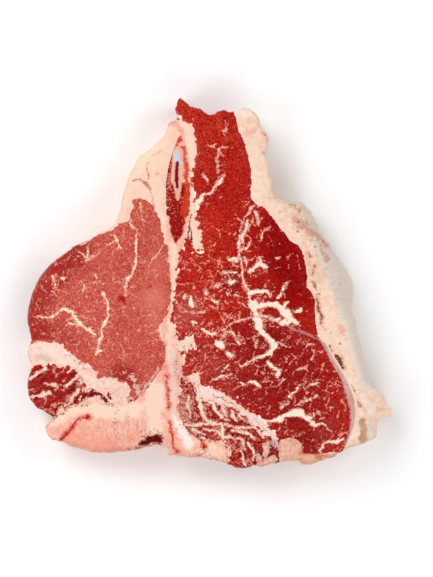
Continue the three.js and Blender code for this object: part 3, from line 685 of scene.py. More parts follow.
def threads(seed, low, high, count, length, width, heading=0.8, spread=1.2):
    """Short bent strokes in a box. Point k of a thread lies one step further at an angle that drifts."""
    draw = np.random.default_rng(seed)
    start = draw.uniform(low, high, (count, 2))
    angle = heading + spread * draw.normal(0, 1, (count, 1))
    angle = angle + np.cumsum(draw.normal(0, 0.5, (count, LEGS)), axis=1)
    step = (length * draw.uniform(0.35, 1.3, (count, 1)) ** 1.5) / LEGS
    moves = np.stack([np.cos(angle) * step, np.sin(angle) * step], axis=2)
    lines = start[:, None, :] + np.concatenate([np.zeros((count, 1, 2)), np.cumsum(moves, axis=1)], axis=1)
    widths = width * draw.uniform(0.5, 1.5, count)
    return [(line, w, w * 0.4) for line, w in zip(lines, widths)]


def spurs(seed, strokes, spacing=3.2, length=2.6, width=0.6):
    """Short twigs that leave some strokes sideways, at 35 to 80 degrees, one for about every spacing mm."""
    draw = np.random.default_rng(seed)
    twigs = []
    for points, *_ in strokes:
        line = smooth_curve(points, STROKE_STEP)
        count = draw.poisson(len(line) * STROKE_STEP / spacing)
        at = draw.integers(1, len(line), count)
        along = line[at] - line[at - 1]
        turn = draw.uniform(0.6, 1.4, count) * draw.choice([-1, 1], count)
        angle = np.arctan2(along[:, 1], along[:, 0]) + turn
        reach = length * draw.uniform(0.4, 1.4, count)
        bend = angle + draw.normal(0, 0.5, count)
        middle = line[at] + np.stack([np.cos(angle), np.sin(angle)], axis=1) * reach[:, None] / 2
        end = middle + np.stack([np.cos(bend), np.sin(bend)], axis=1) * reach[:, None] / 2
        twigs += [(np.array(three), width * 1.3, width * 0.5) for three in zip(line[at], middle, end)]
    return twigs


LOIN_SPURS = spurs(12, LOIN_VEINS)
FILLET_SPURS = spurs(13, FILLET_VEINS, spacing=2.4, length=3)
LOIN_THREADS = (
    threads(3, (-20, -60), (72, 60), 240, 3.0, 0.4)
    + threads(4, (-15, -92), (74, -28), 360, 3.8, 0.42, heading=0.75, spread=0.35)
    + threads(5, (-20, -30), (32, 14), 300, 3.4, 0.5, heading=-0.1, spread=0.4)
)
FILLET_THREADS = threads(6, (-99, -60), (-22, 46), 480, 3, 0.5)
SIDE_THREADS = threads(7, (-99, -72), (-68, -45), 40, 6, 0.8, heading=0.5, spread=0.3)
CHINE_THREADS = threads(8, (-17, -101), (34, -52), 130, 5, 0.75, heading=-0.5, spread=0.7)
print(len(LOIN_THREADS) + len(FILLET_THREADS), "threads of fat")

# %% [markdown]
# ## The top of each tissue
# The saw leaves the face nearly flat, and then the meat relaxes: muscle swells a little above its
# edges, fat stays level, and loose bits stand up. A tissue's top is a height over the plane: a level, a
# swelling that fades towards the outline, slow waves, fine noise, and what its marks add or dig. Near
# the rim the height bends down to the rounded wall, or to the slope of the fat cap.

# %% Height of the surface
WAVE = 0.3  # mm, the height of the slow waves
ROUND_LEAN = 2.0  # mm, the lean of an upright rounded rim
RIM_DROP = 2.5  # mm that such a rim falls to its widest line
DROP_RATE = 1.6  # mm more for each mm of lean
STRAIGHTENING = 0.05  # how much straighter the section gets with each mm of lean
BLEND = 0.5  # mm over which the face turns into the rim
RISE = 1.2  # further in than the lean, the rim section rises at this rate and leaves the face alone
SEAM_LEVEL = -0.5  # where tissues meet, their faces meet at this level
SHRINK = 0.15  # the skin of the looks keeps this far inside the construction model
BUMP_ROOM = 0.2  # the face lies this much lower still, so its fine bumps stay inside too
DIG_WALL = (-0.35, 0.6)  # mm outside and inside a mark's edge between which its wall goes down
TAIL_START, TAIL_LENGTH, TAIL_DROP = 78, 22, 5  # the thin tail of the fat cap falls away by the drop
SIDE_LIE, CHINE_LIE = 0.52, -0.7  # radians at which the bundles of the small muscles lie
TOPS = {
    "strip_loin": dict(level=-0.4, swell=1.4, reach=6),
    "tenderloin": dict(level=-0.5, swell=1.8, reach=8),
    "t_bone": dict(level=-0.2, swell=0, reach=5),
    "fat_cap": dict(level=-0.4, swell=0.8, reach=4),
    "kidney_fat": dict(level=-0.4, swell=1.2, reach=4),
    "seam_fat": dict(level=-0.8, swell=0.5, reach=3),
    "side_muscle": dict(level=-0.9, swell=0.9, reach=3, bundle=0.5, spacing=6, angle=SIDE_LIE),
    "chine_muscle": dict(level=-0.8, swell=0.8, reach=3, bundle=0.45, spacing=6, angle=CHINE_LIE),
    "chine_fat": dict(level=-0.5, swell=0.4, reach=3),
    "silver_skin": dict(level=-0.6, swell=0.3, reach=2),
    "lower_fat": dict(level=-1.6, swell=0, reach=3),
}
LUMPS = [  # place, radius and height of the crumbs along the lower edge; those that touch make one lump
    (31.2, -86.4, 2.2, 1.6), (31, -89.4, 2.6, 1.9), (30.4, -92, 1.7, 1.3),
    (41.6, -87, 4.2, 2.0), (45.6, -88.4, 4.4, 1.9), (41.6, -91.6, 4.4, 2.1), (46.2, -93, 4.4, 1.5),
    (41, -95, 3.0, 1.4),
    (31.2, -96.4, 2.8, 1.6), (34.2, -95.6, 2.8, 1.8), (34, -98.2, 2.2, 1.2),
    (26.6, -94.2, 2.2, 1.5), (27.2, -98.8, 2.3, 1.2), (23.4, -99.4, 1.4, 0.9)]
DIGS = {  # marks that lie below the surface, or above it where the depth is less than 0
    "fat_cap": [(CAP_SLITS, 1.2), (CAP_RECESS, 1.4), (CAP_DOTS, 0.4)],
    "kidney_fat": [(SUET_CREASES, 1.4)],
    "t_bone": [(BONE_DARK, 2.4), (BONE_SLIT, 0.5), (BONE_MARROW, 0.35), (FINGER_MARROW, 0.3)],
    "strip_loin": [(LOIN_VEINS, -0.12)],
    "tenderloin": [(FILLET_VEINS, -0.12), (FILLET_BLOOD, 0.3)],
    "side_muscle": [(SIDE_STREAKS, -0.3)],
    "chine_muscle": [(CHINE_STRANDS, -0.3)],
}


def rim_height(lean, inset):
    """Height of the rim's section. It falls from the top, at an inset equal to the lean, to the widest
    line by drop (1 - (1 - u^b)^(1/b)), where u goes from 0 at the top to 1 at the widest line. A small
    lean has b = 2, a quarter of an ellipse."""
    drop = RIM_DROP + DROP_RATE * (lean - ROUND_LEAN)
    bend = 2 - STRAIGHTENING * (lean - ROUND_LEAN)
    outward = np.clip(1 - inset / lean, 0, 1)
    return THICKNESS - drop * (1 - (1 - outward**bend) ** (1 / bend))


def across_bundles(x, y, angle):
    """Distance across muscle bundles that lie at an angle and bend a little."""
    return y * np.cos(angle) - x * np.sin(angle) + 1.2 * noise(x, y, 6, 31)


def face_height(name, places, edge_distance):
    """Height of the sawn face of a tissue, before the rim bends it down: a level that starts at the
    seams' own, plus waves, plus a swelling of 1 - exp(-distance to the edge / reach), plus its marks."""
    top = TOPS[name]
    x, y = places.T
    waves = WAVE * np.sin(x / 11 + 1.3) * np.cos(y / 13) + WAVE / 2 * np.sin(x / 5 + y / 6)
    level = SEAM_LEVEL + (top["level"] - SEAM_LEVEL) * (1 - np.exp(-edge_distance / 2))
    height = THICKNESS + level + waves + top["swell"] * (1 - np.exp(-edge_distance / top["reach"]))
    if "bundle" in top:
        across = across_bundles(x, y, top["angle"])
        height += top["bundle"] * np.sin(2 * np.pi * across / top["spacing"])
        height += 0.35 * noise(across, x * 0.3, 1.4, 32)
    if name == "fat_cap":
        height -= TAIL_DROP * ramp(x, TAIL_START, TAIL_START + TAIL_LENGTH)
    if name == "lower_fat":
        u, v = shaken(places).T
        domes = [h * np.sqrt(np.clip(1 - ((u - cx) ** 2 + (v - cy) ** 2) / r**2, 0, 1))
                 for cx, cy, r, h in LUMPS]
        height += np.max(domes, axis=0) + 0.4 * noise(x, y, 1.6, 33)
    for strokes, depth in DIGS.get(name, []):
        height -= depth * ramp(stroke_field(strokes, places), *DIG_WALL)
    height += 0.12 * noise(x, y, 2.4, 34) + 0.08 * noise(x, y, 1.1, 35) - SHRINK - BUMP_ROOM
    return height


def top_height(name, places, edge_distance):
    """The face, bent down at the rim: the lower of the two heights, with the corner between them
    blended."""
    inset, lean = rim_near(places)
    face = face_height(name, places, edge_distance)
    slope = rim_height(lean, inset) - SHRINK + RISE * np.maximum(inset - lean, 0)
    mix = np.clip(0.5 + (slope - face) / (2 * BLEND), 0, 1)
    return slope * (1 - mix) + face * mix - BLEND * mix * (1 - mix)


print("tops for", len(TOPS), "tissues")

# %% [markdown]
# ## From an outline to a closed mesh
# A tissue is a thick plate with a wandering outline, so three surfaces close it. The top is a
# triangulation of the outline filled with a fine hexagonal lattice, lifted to the height above. The
# wall goes down from the outline in rows, rough at the rim and drawn in at the foot. The underside is
# the last row filled with a coarser lattice. A constrained Delaunay triangulation is used because it
# keeps every point of the outline, so thin tips such as the fascia beside the bone stay whole. At a few
# corners, where a seam meets the rim, an outline crosses itself. There the triangulation has a point
# that the wall lacks, and a crack of up to 2 mm stays open.

# %% Filling an outline
TOP_CELL = 0.5
UNDER_CELL = 1.3
ROW_RISE = 0.866  # height of a triangle whose sides are 1
CLEARANCE = 0.55  # cells that the lattice keeps away from the loop
KEEP_INSIDE, SAME_POINT = 1, 1e-7  # the triangulation's options: what it keeps, and what it merges
WALL_ROWS = 20
TUCK, TUCK_HEIGHT = 1.2, 2.5  # mm that the foot is drawn in, and how far up that reaches
WALL_ROUGHNESS = 0.5  # mm
FADE = 7.0  # mm from the rim over which the roughness and the tuck fade away along a seam


def lattice(low, high, cell):
    """Points of a hexagonal lattice over a box: every other row is shifted by half a cell."""
    x, y = np.meshgrid(np.arange(low[0], high[0], cell), np.arange(low[1], high[1], cell * ROW_RISE))
    x = x + (np.arange(len(x)) % 2)[:, None] * cell / 2
    return np.stack([x.ravel(), y.ravel()], axis=1)


def filled(loop, cell):
    """Triangulates a closed loop with lattice points inside. The loop's own points come first."""
    inner = lattice(loop.min(axis=0), loop.max(axis=0), cell)
    away, _ = nearest_on(loop, inner, closed=True)
    inner = inner[away > CLEARANCE * cell]
    every = np.vstack([loop, inner])
    border = [list(range(len(loop)))]
    found, _, faces, *_ = delaunay_2d_cdt(every.tolist(), [], border, KEEP_INSIDE, SAME_POINT)
    if len(found) != len(every):  # where an outline crosses itself, the triangulation adds a point
        print("points added where the outline crosses itself:", len(found) - len(every))
        every = np.array([tuple(place) for place in found])
    faces = np.array(faces)
    used = np.zeros(len(every), bool)
    used[: len(loop)] = True
    used[faces] = True
    renumber = np.cumsum(used) - 1
    return every[used], renumber[faces]


def wall_row(loop, inset, out, top, share):
    """One row of the wall. At a share of the way down, the height is top (1 - share). At the rim the
    points move inwards by a rough field and, near the floor, by the tuck. Along a seam this fades away."""
    height = top * (1 - share)
    x, y = loop.T
    rough = 0.5 + 0.5 * noise(x + y, height * 1.3, 3.2, 41) + 0.35 * noise(x - y, height, 1.3, 42)
    inward = WALL_ROUGHNESS * np.clip(rough, 0, 2) * ramp(share, 0.02, 0.2)
    inward = inward + TUCK * np.clip(1 - height / TUCK_HEIGHT, 0, 1) ** 2
    inward = inward * (1 - ramp(inset, 0, FADE))
    return np.column_stack([loop - out * inward[:, None], height])


def tissue_mesh(name):
    """Vertices in mm and triangles of one closed tissue, and the distance from each point of its outline
    to the rim. The wall's rows lie between the top and the underside, and share their points with both."""
    loop = outline_of(name)[::-1]
    flat, top_faces = filled(loop, TOP_CELL)
    edge_distance, _ = nearest_on(loop, flat, closed=True)
    top = np.column_stack([flat, top_height(name, flat, edge_distance)])
    count = len(loop)
    shares = np.linspace(0, 1, WALL_ROWS + 1)[1:]
    inset, foot = nearest_on(rim[:, :2], loop, closed=True)
    out = rim_out[np.round(foot).astype(int) % len(rim)]
    rows = [wall_row(loop, inset, out, top[:count, 2], share) for share in shares]
    under, under_faces = filled(rows[-1][:, :2], UNDER_CELL)
    inner = np.column_stack([under[count:], np.zeros(len(under) - count)])
    vertices = np.vstack([top, *rows, inner])
    starts = len(top) + count * np.arange(WALL_ROWS)
    this, after = np.arange(count), np.roll(np.arange(count), -1)
    walls = []
    for upper, lower in zip([0, *starts[:-1]], starts):
        walls.append(np.column_stack([upper + this, lower + this, lower + after]))
        walls.append(np.column_stack([upper + this, lower + after, upper + after]))
    under_index = np.r_[starts[-1] + this, starts[-1] + count + np.arange(len(inner))]
    faces = np.vstack([top_faces, *walls, under_index[under_faces][:, ::-1]])
    return vertices, faces, inset


print("lattices of", TOP_CELL, "mm on top and", UNDER_CELL, "mm below")

# %% [markdown]
# ## From arrays to an object
# The vertices go into the mesh in one call, in metres. Colour fields go in as point attributes, one
# number for each vertex, measured at the vertex's place in the plane. Further down the wall the place
# is shifted a little, because veins wander as they run through the slice. Pits, slits and stains of the
# face fade out before they are halfway down.

# %% Building a piece
ON_FACE = ("dark", "brown", "gap", "slit", "halo", "dot", "recess", "crease_shade", "smudge", "meat", "line",
           "stain")  # marks of the face alone
FACE_FADE = (5, 13)  # mm below the top where such a mark starts to fade, and where it is gone
BROWN_FADE = (1, 6)  # the same for the stain beside the nerve canal, which lies close to the rim
FADED = 4  # mm of depth that a mark has lost when it is gone
SHIFT, SHIFT_CELL = 1.5, 9  # mm that veins wander on their way down, and the cell of that noise
SHIFT_DEPTHS = (3, 20)  # mm below the top between which the wandering grows
RIM_BAND = 1.0  # mm from the rim in which the edge of the face stays round


def wandering(vertices):
    """Where a vertex reads the marks: its place in the plane, shifted more and more with its depth."""
    x, y, z = vertices.T
    depth = ramp(THICKNESS - z, *SHIFT_DEPTHS)
    shift = np.column_stack([noise(x + z, y, SHIFT_CELL, 51), noise(x, y + z, SHIFT_CELL, 52)])
    return vertices[:, :2] + SHIFT * depth[:, None] * shift


def mark_seams(mesh, inset):
    """Marks the edges where the face meets a wall inside the steak as sharp, so that the face shades flat
    up to its neighbour. Close to the rim the edge stays round."""
    ends = np.empty(len(mesh.edges) * 2, np.int32)
    mesh.edges.foreach_get("vertices", ends)
    first, second = ends.reshape(-1, 2).T
    count = len(inset)
    step = np.abs(first - second)
    seam = (first < count) & (second < count) & ((step == 1) | (step == count - 1))
    seam &= inset[np.minimum(first, count - 1)] > RIM_BAND
    sharp = mesh.attributes.new("sharp_edge", "BOOLEAN", "EDGE")
    sharp.data.foreach_set("value", seam)


def build_piece(name, piece_name, fields, material):
    """Makes the closed mesh of a tissue with its colour fields, and puts it in the place of its node. A
    field is a list of strokes or a function of places. One that the material reads and the piece
    doesn't give is far outside every mark everywhere."""
    vertices, faces, inset = tissue_mesh(name)
    mesh = bpy.data.meshes.new(piece_name)
    mesh.from_pydata((vertices * MM).tolist(), [], faces.tolist())
    mark_seams(mesh, inset)
    places = wandering(vertices)
    for field_name, field in fields.items():
        values = field(places) if callable(field) else stroke_field(field, shaken(places))
        if field_name in ON_FACE:
            fade = BROWN_FADE if field_name == "brown" else FACE_FADE
            values = values - FADED * ramp(THICKNESS - vertices[:, 2], *fade)
        attribute = mesh.attributes.new(field_name, "FLOAT", "POINT")
        attribute.data.foreach_set("value", values.astype(np.float32))
    for node in material.node_tree.nodes:
        if node.type == "ATTRIBUTE" and node.attribute_name not in mesh.attributes:
            blank = mesh.attributes.new(node.attribute_name, "FLOAT", "POINT")
            blank.data.foreach_set("value", np.full(len(vertices), FAR_OUTSIDE, np.float32))
    mesh.shade_smooth()
    mesh.materials.append(material)
    piece = bpy.data.objects.new(piece_name, mesh)
    bpy.context.scene.collection.objects.link(piece)
    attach(piece, "root")
    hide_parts(name)
    print(piece_name, len(vertices), "vertices", len(faces), "triangles")


print(len(ON_FACE), "kinds of marks stay near the face")

# %% [markdown]
# ## Colour in layers
# Wet meat isn't one colour. Its material starts from a mottled ground of two shades, broken up by the
# cut ends of the fibres, and then lays the marks over it one by one. Each layer reads a field of the
# mesh, adds noise to it and turns it into a mask, so a vein gets a ragged edge that is finer than the
# mesh. Light enters fat and meat and comes out a little further on, which the subsurface weight gives.
# The moist gloss is a low roughness with a weak specular level.

# %% Material helpers
LIGHT_LEVEL = 1.12  # a white sheet under these lights comes out this much brighter than screen white
MM_IN_METRE = 1000


def srgb(red, green, blue):
    """A screen colour, 0 to 255, as the linear base colour that gives it under the lights of this scene."""
    value = np.array([red, green, blue]) / 255
    linear = np.where(value <= 0.04045, value / 12.92, ((value + 0.055) / 1.055) ** 2.4)
    return (*(linear / LIGHT_LEVEL).tolist(), 1.0)


def add_node(tree, kind, inputs=(), **settings):
    """Adds a node, sets its options, and links or sets its inputs."""
    made = tree.nodes.new(kind)
    for key, value in settings.items():
        setattr(made, key, value)
    for key, value in dict(inputs).items():
        if isinstance(value, bpy.types.NodeSocket):
            tree.links.new(value, made.inputs[key])
        else:
            made.inputs[key].default_value = value
    return made


def noise_value(tree, where, cell_mm, detail=4.0, roughness=0.6):
    """Noise from 0 to 1 with features of about that size."""
    made = add_node(tree, "ShaderNodeTexNoise", {
        "Vector": where, "Scale": MM_IN_METRE / cell_mm, "Detail": detail, "Roughness": roughness})
    return made.outputs[0]


def remapped(tree, value, low, high, out_low=0.0, out_high=1.0):
    """A value carried from one range to another by 3s^2 - 2s^3, and held at the ends."""
    made = add_node(tree, "ShaderNodeMapRange", {
        "Value": value, "From Min": low, "From Max": high, "To Min": out_low, "To Max": out_high},
        interpolation_type="SMOOTHSTEP")
    return made.outputs[0]


def arithmetic(tree, operation, a, b):
    """One operation on two numbers or sockets."""
    return add_node(tree, "ShaderNodeMath", {0: a, 1: b}, operation=operation).outputs[0]


def mixed(tree, amount, a, b, blend="MIX"):
    """Colour a, changed by colour b as far as the amount says, from 0 to 1."""
    made = add_node(tree, "ShaderNodeMix", {0: amount, 6: a, 7: b}, data_type="RGBA", blend_type=blend)
    return made.outputs[2]


def field_value(tree, name):
    """A point attribute of the mesh as a number."""
    return add_node(tree, "ShaderNodeAttribute", attribute_name=name).outputs["Fac"]


def dashes(tree, where, cell_mm, density):
    """Thin broken lines: the places where one noise is near its middle value, kept where a second one is
    high. The higher the density, from 0 to 1, the more of the lines are kept."""
    winding = noise_value(tree, where, cell_mm, 1, 0.5)
    off_middle = arithmetic(tree, "ABSOLUTE", arithmetic(tree, "SUBTRACT", winding, 0.5), 0.0)
    line = remapped(tree, off_middle, 0.06, 0.015)
    small = arithmetic(tree, "MULTIPLY", noise_value(tree, where, cell_mm * 0.8, 1, 0.5), 0.65)
    clump = arithmetic(tree, "MULTIPLY", noise_value(tree, where, 7, 2, 0.5), 0.35)
    keep = arithmetic(tree, "ADD", small, clump)
    keep = arithmetic(tree, "ADD", keep, arithmetic(tree, "MULTIPLY", density, 0.1))
    return arithmetic(tree, "MULTIPLY", line, remapped(tree, keep, 0.585, 0.65))


print("material helpers ready")

# %% The material of every tissue
FRAY_GAIN = 4  # noise keeps near its middle, so this brings its swing to about the raggedness
RAG_CELL = 1.3  # mm, the size of the raggedness where a layer doesn't give one
LAYER_SHIFT = (0.31, 0.17)  # metres from the noise that one layer reads to the next one's
STREAK_SHIFT = 0.13  # the same for streaks
STRETCH = 6  # times that a streak is longer than it is wide
BUMP_HEIGHT = 0.0006  # metres


def meat_material(name, ground, shade, light, layers, tones=(), streaks=(), mottle=2.4, grain=1.1,
                  gloss=0.28, relief=0.35, speckle=1.0):
    """Ground mottled with shade and light, times some tones, then streaks, then layers of marks.
    A tone is (field, factors): the colour is multiplied by the factors where the field is above 0.
    A streak is (field, colour, angle, strength): noise drawn out along the angle, where the field is
    above 0.
    A layer is (field, colour, raggedness, softness, strength), with raggedness and softness in mm, and at
    will the size of the raggedness in mm. The layers fleck and cleft are thin dashes, and the field
    fleck says how dense they lie.
    A border and the edge across the seam share their noise with opposite signs, so the two sides fit.
    The edges have several names because the meat next door has several colours."""
    material = bpy.data.materials.new(name)
    material.use_nodes = True
    tree = material.node_tree
    tree.nodes.clear()
    where = add_node(tree, "ShaderNodeTexCoord").outputs["Object"]

    # Ground: slow drifts of shade, then mottling, then the cut ends of the fibres as fine dots.
    broad = noise_value(tree, where, 11, 3)
    middle = noise_value(tree, where, mottle, 4, 0.7)
    fine = noise_value(tree, where, grain, 3, 0.75)
    tiny = noise_value(tree, where, grain * 0.65, 1, 0.5)
    colour = mixed(tree, remapped(tree, broad, 0.45, 0.62, 0, 0.35), srgb(*ground), srgb(*shade))
    colour = mixed(tree, remapped(tree, middle, 0.48, 0.36, 0, 0.7), colour, srgb(*shade))
    colour = mixed(tree, remapped(tree, middle, 0.55, 0.66, 0, 0.6), colour, srgb(*light))
    for grains, span in ((fine, 0.09), (tiny, 0.1)):
        colour = mixed(tree, remapped(tree, grains, 0.55, 0.56 + span, 0, speckle), colour, srgb(*light))
        colour = mixed(tree, remapped(tree, grains, 0.46, 0.45 - span, 0, speckle), colour, srgb(*shade))

    # Tones, whose edges the mottling breaks up.
    for field, factors in tones:
        swing = arithmetic(tree, "MULTIPLY", arithmetic(tree, "SUBTRACT", middle, 0.5), 1.5)
        amount = remapped(tree, arithmetic(tree, "ADD", field_value(tree, field), swing), -0.5, 0.5)
        colour = mixed(tree, amount, colour, (*factors, 1.0), "MULTIPLY")

    # Streaks: noise that a mapping has turned and drawn out.
    for number, (field, tint, angle, strength) in enumerate(streaks):
        drawn = add_node(tree, "ShaderNodeMapping", {
            "Vector": where, "Location": (STREAK_SHIFT * number, 0, 0), "Rotation": (0, 0, angle),
            "Scale": (STRETCH, 1, STRETCH)}, vector_type="TEXTURE").outputs[0]
        amount = remapped(tree, noise_value(tree, drawn, 0.9, 3, 0.6), 0.5, 0.62, 0, strength)
        amount = arithmetic(tree, "MULTIPLY", amount, remapped(tree, field_value(tree, field), -0.4, 0.6))
        colour = mixed(tree, amount, colour, srgb(*tint))

    # Marks: a field plus ragged noise, cut off at 0. Two neighbours read the same noise along their seam,
    # and every other layer its own.
    for number, (field, tint, raggedness, softness, strength, *cell) in enumerate(layers):
        place = where
        if not field.startswith(("border", "edge")):
            along, up = (number * shift for shift in LAYER_SHIFT)
            place = add_node(tree, "ShaderNodeMapping", {
                "Vector": where, "Location": (along, up, 0)}).outputs[0]
        if field in ("fleck", "cleft"):
            density = field_value(tree, "fleck")
            small = arithmetic(tree, "MULTIPLY", dashes(tree, place, 1.9, density), 0.8)
            elsewhere = add_node(tree, "ShaderNodeMapping", {
                "Vector": place, "Location": (0.5, 0.2, 0)}).outputs[0]
            large = dashes(tree, elsewhere, 3.2, density)
            mask = arithmetic(tree, "MULTIPLY", arithmetic(tree, "MAXIMUM", small, large), strength)
        else:
            ragged = noise_value(tree, place, *(cell or [RAG_CELL]), 4, 0.7)
            swing = arithmetic(tree, "SUBTRACT", ragged, 0.5)
            gain = -FRAY_GAIN if field.startswith("edge") else FRAY_GAIN
            wobble = arithmetic(tree, "MULTIPLY", swing, raggedness * gain)
            mask = remapped(tree, arithmetic(tree, "ADD", field_value(tree, field), wobble),
                            -softness, softness, 0, strength)
        colour = mixed(tree, mask, colour, srgb(*tint))

    # Relief and gloss follow the mottling.
    heights = arithmetic(tree, "ADD", arithmetic(tree, "MULTIPLY", middle, 0.6),
                         arithmetic(tree, "MULTIPLY", fine, 0.6))
    bump = add_node(tree, "ShaderNodeBump", {"Height": heights, "Strength": relief, "Distance": BUMP_HEIGHT})
    rough = remapped(tree, middle, 0.3, 0.7, gloss - 0.06, gloss + 0.1)
    shader = add_node(tree, "ShaderNodeBsdfPrincipled", {
        "Base Color": colour, "Roughness": rough, "Normal": bump.outputs[0], "IOR": 1.4,
        "Specular IOR Level": 0.1, "Subsurface Weight": 0.05, "Subsurface Scale": 0.001,
        "Subsurface Radius": (1.0, 0.4, 0.25)})
    output = add_node(tree, "ShaderNodeOutputMaterial")
    tree.links.new(shader.outputs[0], output.inputs[0])
    return material


print("one material function for all tissues")

# %% [markdown]
# ## Strip loin
# The big muscle right of the bone. It is brightest at the narrow tail end, deepest red beside the fat
# cap, and paler and more marbled towards the bone. Those slow changes are soft patches with a centre
# and a radius. The veins lie over them.

# %% Fields for tones and veins
BESIDE_REACH = 1.5  # mm over which the field beside some strokes falls to a third
GROOVE_AWAY = 0.9  # mm from a vein to the dark line where the meat draws back from it


def patches(spots):
    """A field that is the sum of soft round spots: strength times exp(-(distance / radius)^2), less 1."""
    def field(places):
        total = np.zeros(len(places))
        for x, y, radius, strength in spots:
            total += strength * np.exp(-((places[:, 0] - x) ** 2 + (places[:, 1] - y) ** 2) / radius**2)
        return total - 1
    return field


def beside(strokes, places):
    """The exponential of the depth over the reach: nearly 1 beside the strokes, and 0 far outside."""
    far = np.exp(FAR_OUTSIDE / BESIDE_REACH)
    return np.exp(np.minimum(stroke_field(strokes, places), 0) / BESIDE_REACH) - far


def core(strokes, inset):
    """A field of the depth inside some strokes less an inset, for the pale middle of a vein."""
    return lambda places: stroke_field(strokes, shaken(places)) - inset


def grooves(strokes, half_width):
    """A field for the dark lines beside some veins: the half width less the distance to the line."""
    return lambda places: half_width - np.abs(stroke_field(strokes, shaken(places)) + GROOVE_AWAY)


def everywhere(value):
    """A field that is the same all over."""
    return lambda places: np.full(len(places), value)


print("patches, cores and grooves ready")

# %% Strip loin
CREAM, PALE_PINK = (255, 232, 212), (238, 156, 136)
RED_EDGE, ROSE_EDGE = (176, 46, 36), (200, 84, 70)  # meat that has grown over the edge of fat or bone
RAGGED = (1.1, 0.25, 1.0, 1.2)  # a frayed border's raggedness, softness, strength and size
DUST_REACH, DUST_TOP = 4.5, -24  # mm from the bone, and up the slice, within which bone dust lies
DUST_DEPTH = -0.42  # mm, just outside a speck
loin_red = meat_material(
    "loin_red", ground=(186, 22, 12), shade=(136, 0, 0), light=(212, 62, 46), speckle=0.8, grain=0.9,
    tones=[
        ("crimson", (0.7, 0.7, 1.1)),
        ("deep", (0.7, 0.06, 0.06)),
        ("orange", (1.08, 1.6, 1.2)),
        ("dusky", (0.6, 1.3, 2.0)),
    ],
    layers=[
        ("rosy", (196, 96, 84), 1.2, 0.9, 0.6),
        ("gap", (112, 0, 0), 1.6, 0.5, 0.45, 1.0),
        ("fleck", (208, 78, 66), 0, 0, 0.7),
        ("cleft", (116, 0, 0), 0, 0, 0.7),
        ("fleck", (246, 160, 138), 0, 0, 0.9),
        ("thread", (246, 160, 138), 0.6, 0.2, 0.9, 1.0),
        ("vein", PALE_PINK, 1.2, 0.5, 0.85),
        ("vein_core", CREAM, 1.1, 0.3, 1.0, 1.0),
        ("border", CREAM, *RAGGED),
        ("specks", (84, 20, 14), 1.2, 0.15, 0.8, 0.9),
        ("gristle", (206, 156, 150), 0.9, 0.5, 0.6),
    ])


def loin_flecks(places):
    """Density of the flecks: some slow patches, and more of them beside the veins."""
    slow = patches([(-5, -8, 22, 0.2), (12, -45, 22, 0.3), (15, 0, 14, 0.2), (-5, -38, 12, 0.5),
                    (52, -62, 22, -0.5), (44, 12, 24, -1.1)])(places)
    return slow + 0.5 + 0.7 * beside(LOIN_VEINS, places)


def bone_crumbs(places):
    """Bone dust on the meat along the lower part of the bone: there the field lies just outside a speck,
    so the ragged noise lifts single specks over the edge."""
    near_bone = nearest_on(seam_curves["loin_bone"], places)[0] < DUST_REACH
    return np.where(near_bone & (places[:, 1] < DUST_TOP), DUST_DEPTH, FAR_OUTSIDE)


def loin_cores(places):
    """The pale middle of the veins, which thins out towards the tail end."""
    return core(LOIN_VEINS, 0.25)(places) - 0.3 * ramp(places[:, 1], 10, 50)


build_piece("strip_loin", "strip_loin_meat", {
    "crimson": patches([(45, -55, 34, 1.4), (12, -45, 24, 0.8), (30, -20, 22, 0.6), (35, 15, 22, 0.9),
                        (55, -85, 18, 0.8), (-10, -40, 10, 0.4)]),
    "deep": patches([(50, 25, 22, 1.5), (46, 11, 16, 1.1), (50, -8, 12, 1.1), (30, 32, 14, 0.6),
                     (50, -79, 12, 0.6), (55, -88, 10, 0.8)]),
    "orange": patches([(-8, 95, 16, 1.3), (2, 74, 24, 1.1), (-4, 15, 18, 0.9), (-3, 30, 16, 0.8)]),
    "rosy": patches([(-12, -18, 9, 1.4), (-8, -8, 9, 0.8), (-2, -42, 12, 0.9), (62, -78, 12, 0.7),
                     (8, -56, 12, 0.6)]),
    "dusky": patches([(11, 5, 7, 1.4), (14, -4, 5, 0.8)]),
    "fleck": loin_flecks,
    "gap": grooves(LOIN_VEINS, 0.35),
    "specks": bone_crumbs,
    "thread": LOIN_THREADS + LOIN_SPURS,
    "vein": LOIN_VEINS,
    "vein_core": loin_cores,
    "border": fringe(["loin_fascia", "loin_bone", "loin_chine", "loin_cap", "loin_lower"], 1),
    "gristle": LOIN_GRISTLE,
}, loin_red)

# %% [markdown]
# ## Tenderloin
# The fillet is a finer, paler muscle than the strip loin: its fibres are thin, so the cut looks
# velvety. Its left side rolls down, and the shade of that side is painted into the colour as a deeper red.

# %% Tenderloin
fillet_rose = meat_material(
    "fillet_rose", ground=(204, 88, 74), shade=(176, 56, 44), light=(226, 120, 104), speckle=0.7,
    # deep: painted shade of the left side that rolls down, with darker spots at the lower left
    tones=[("deep", (0.66, 0.28, 0.3))],
    layers=[
        ("pale", (234, 132, 112), 0.6, 0.9, 0.65),
        ("gap", (158, 34, 26), 1.6, 0.5, 0.3, 1.0),
        ("cleft", (166, 40, 34), 0, 0, 0.6),
        ("fleck", (246, 166, 144), 0, 0, 0.75),
        ("thread", (244, 156, 134), 0.5, 0.18, 0.6, 1.0),
        ("blood", (172, 16, 14), 1.1, 0.6, 0.95, 1.0),
        ("vein", (240, 150, 128), 0.9, 0.5, 0.6),
        ("vein_core", (255, 226, 198), 0.9, 0.25, 1.0, 1.0),
        ("tip", (240, 194, 180), 2.2, 0.3, 0.85, 1.4),
        ("border", (252, 204, 184), *RAGGED),
        ("specks", (84, 40, 36), 1.1, 0.15, 0.7, 0.9),
        ("film", (250, 196, 172), 0.4, 0.3, 0.9),
    ])
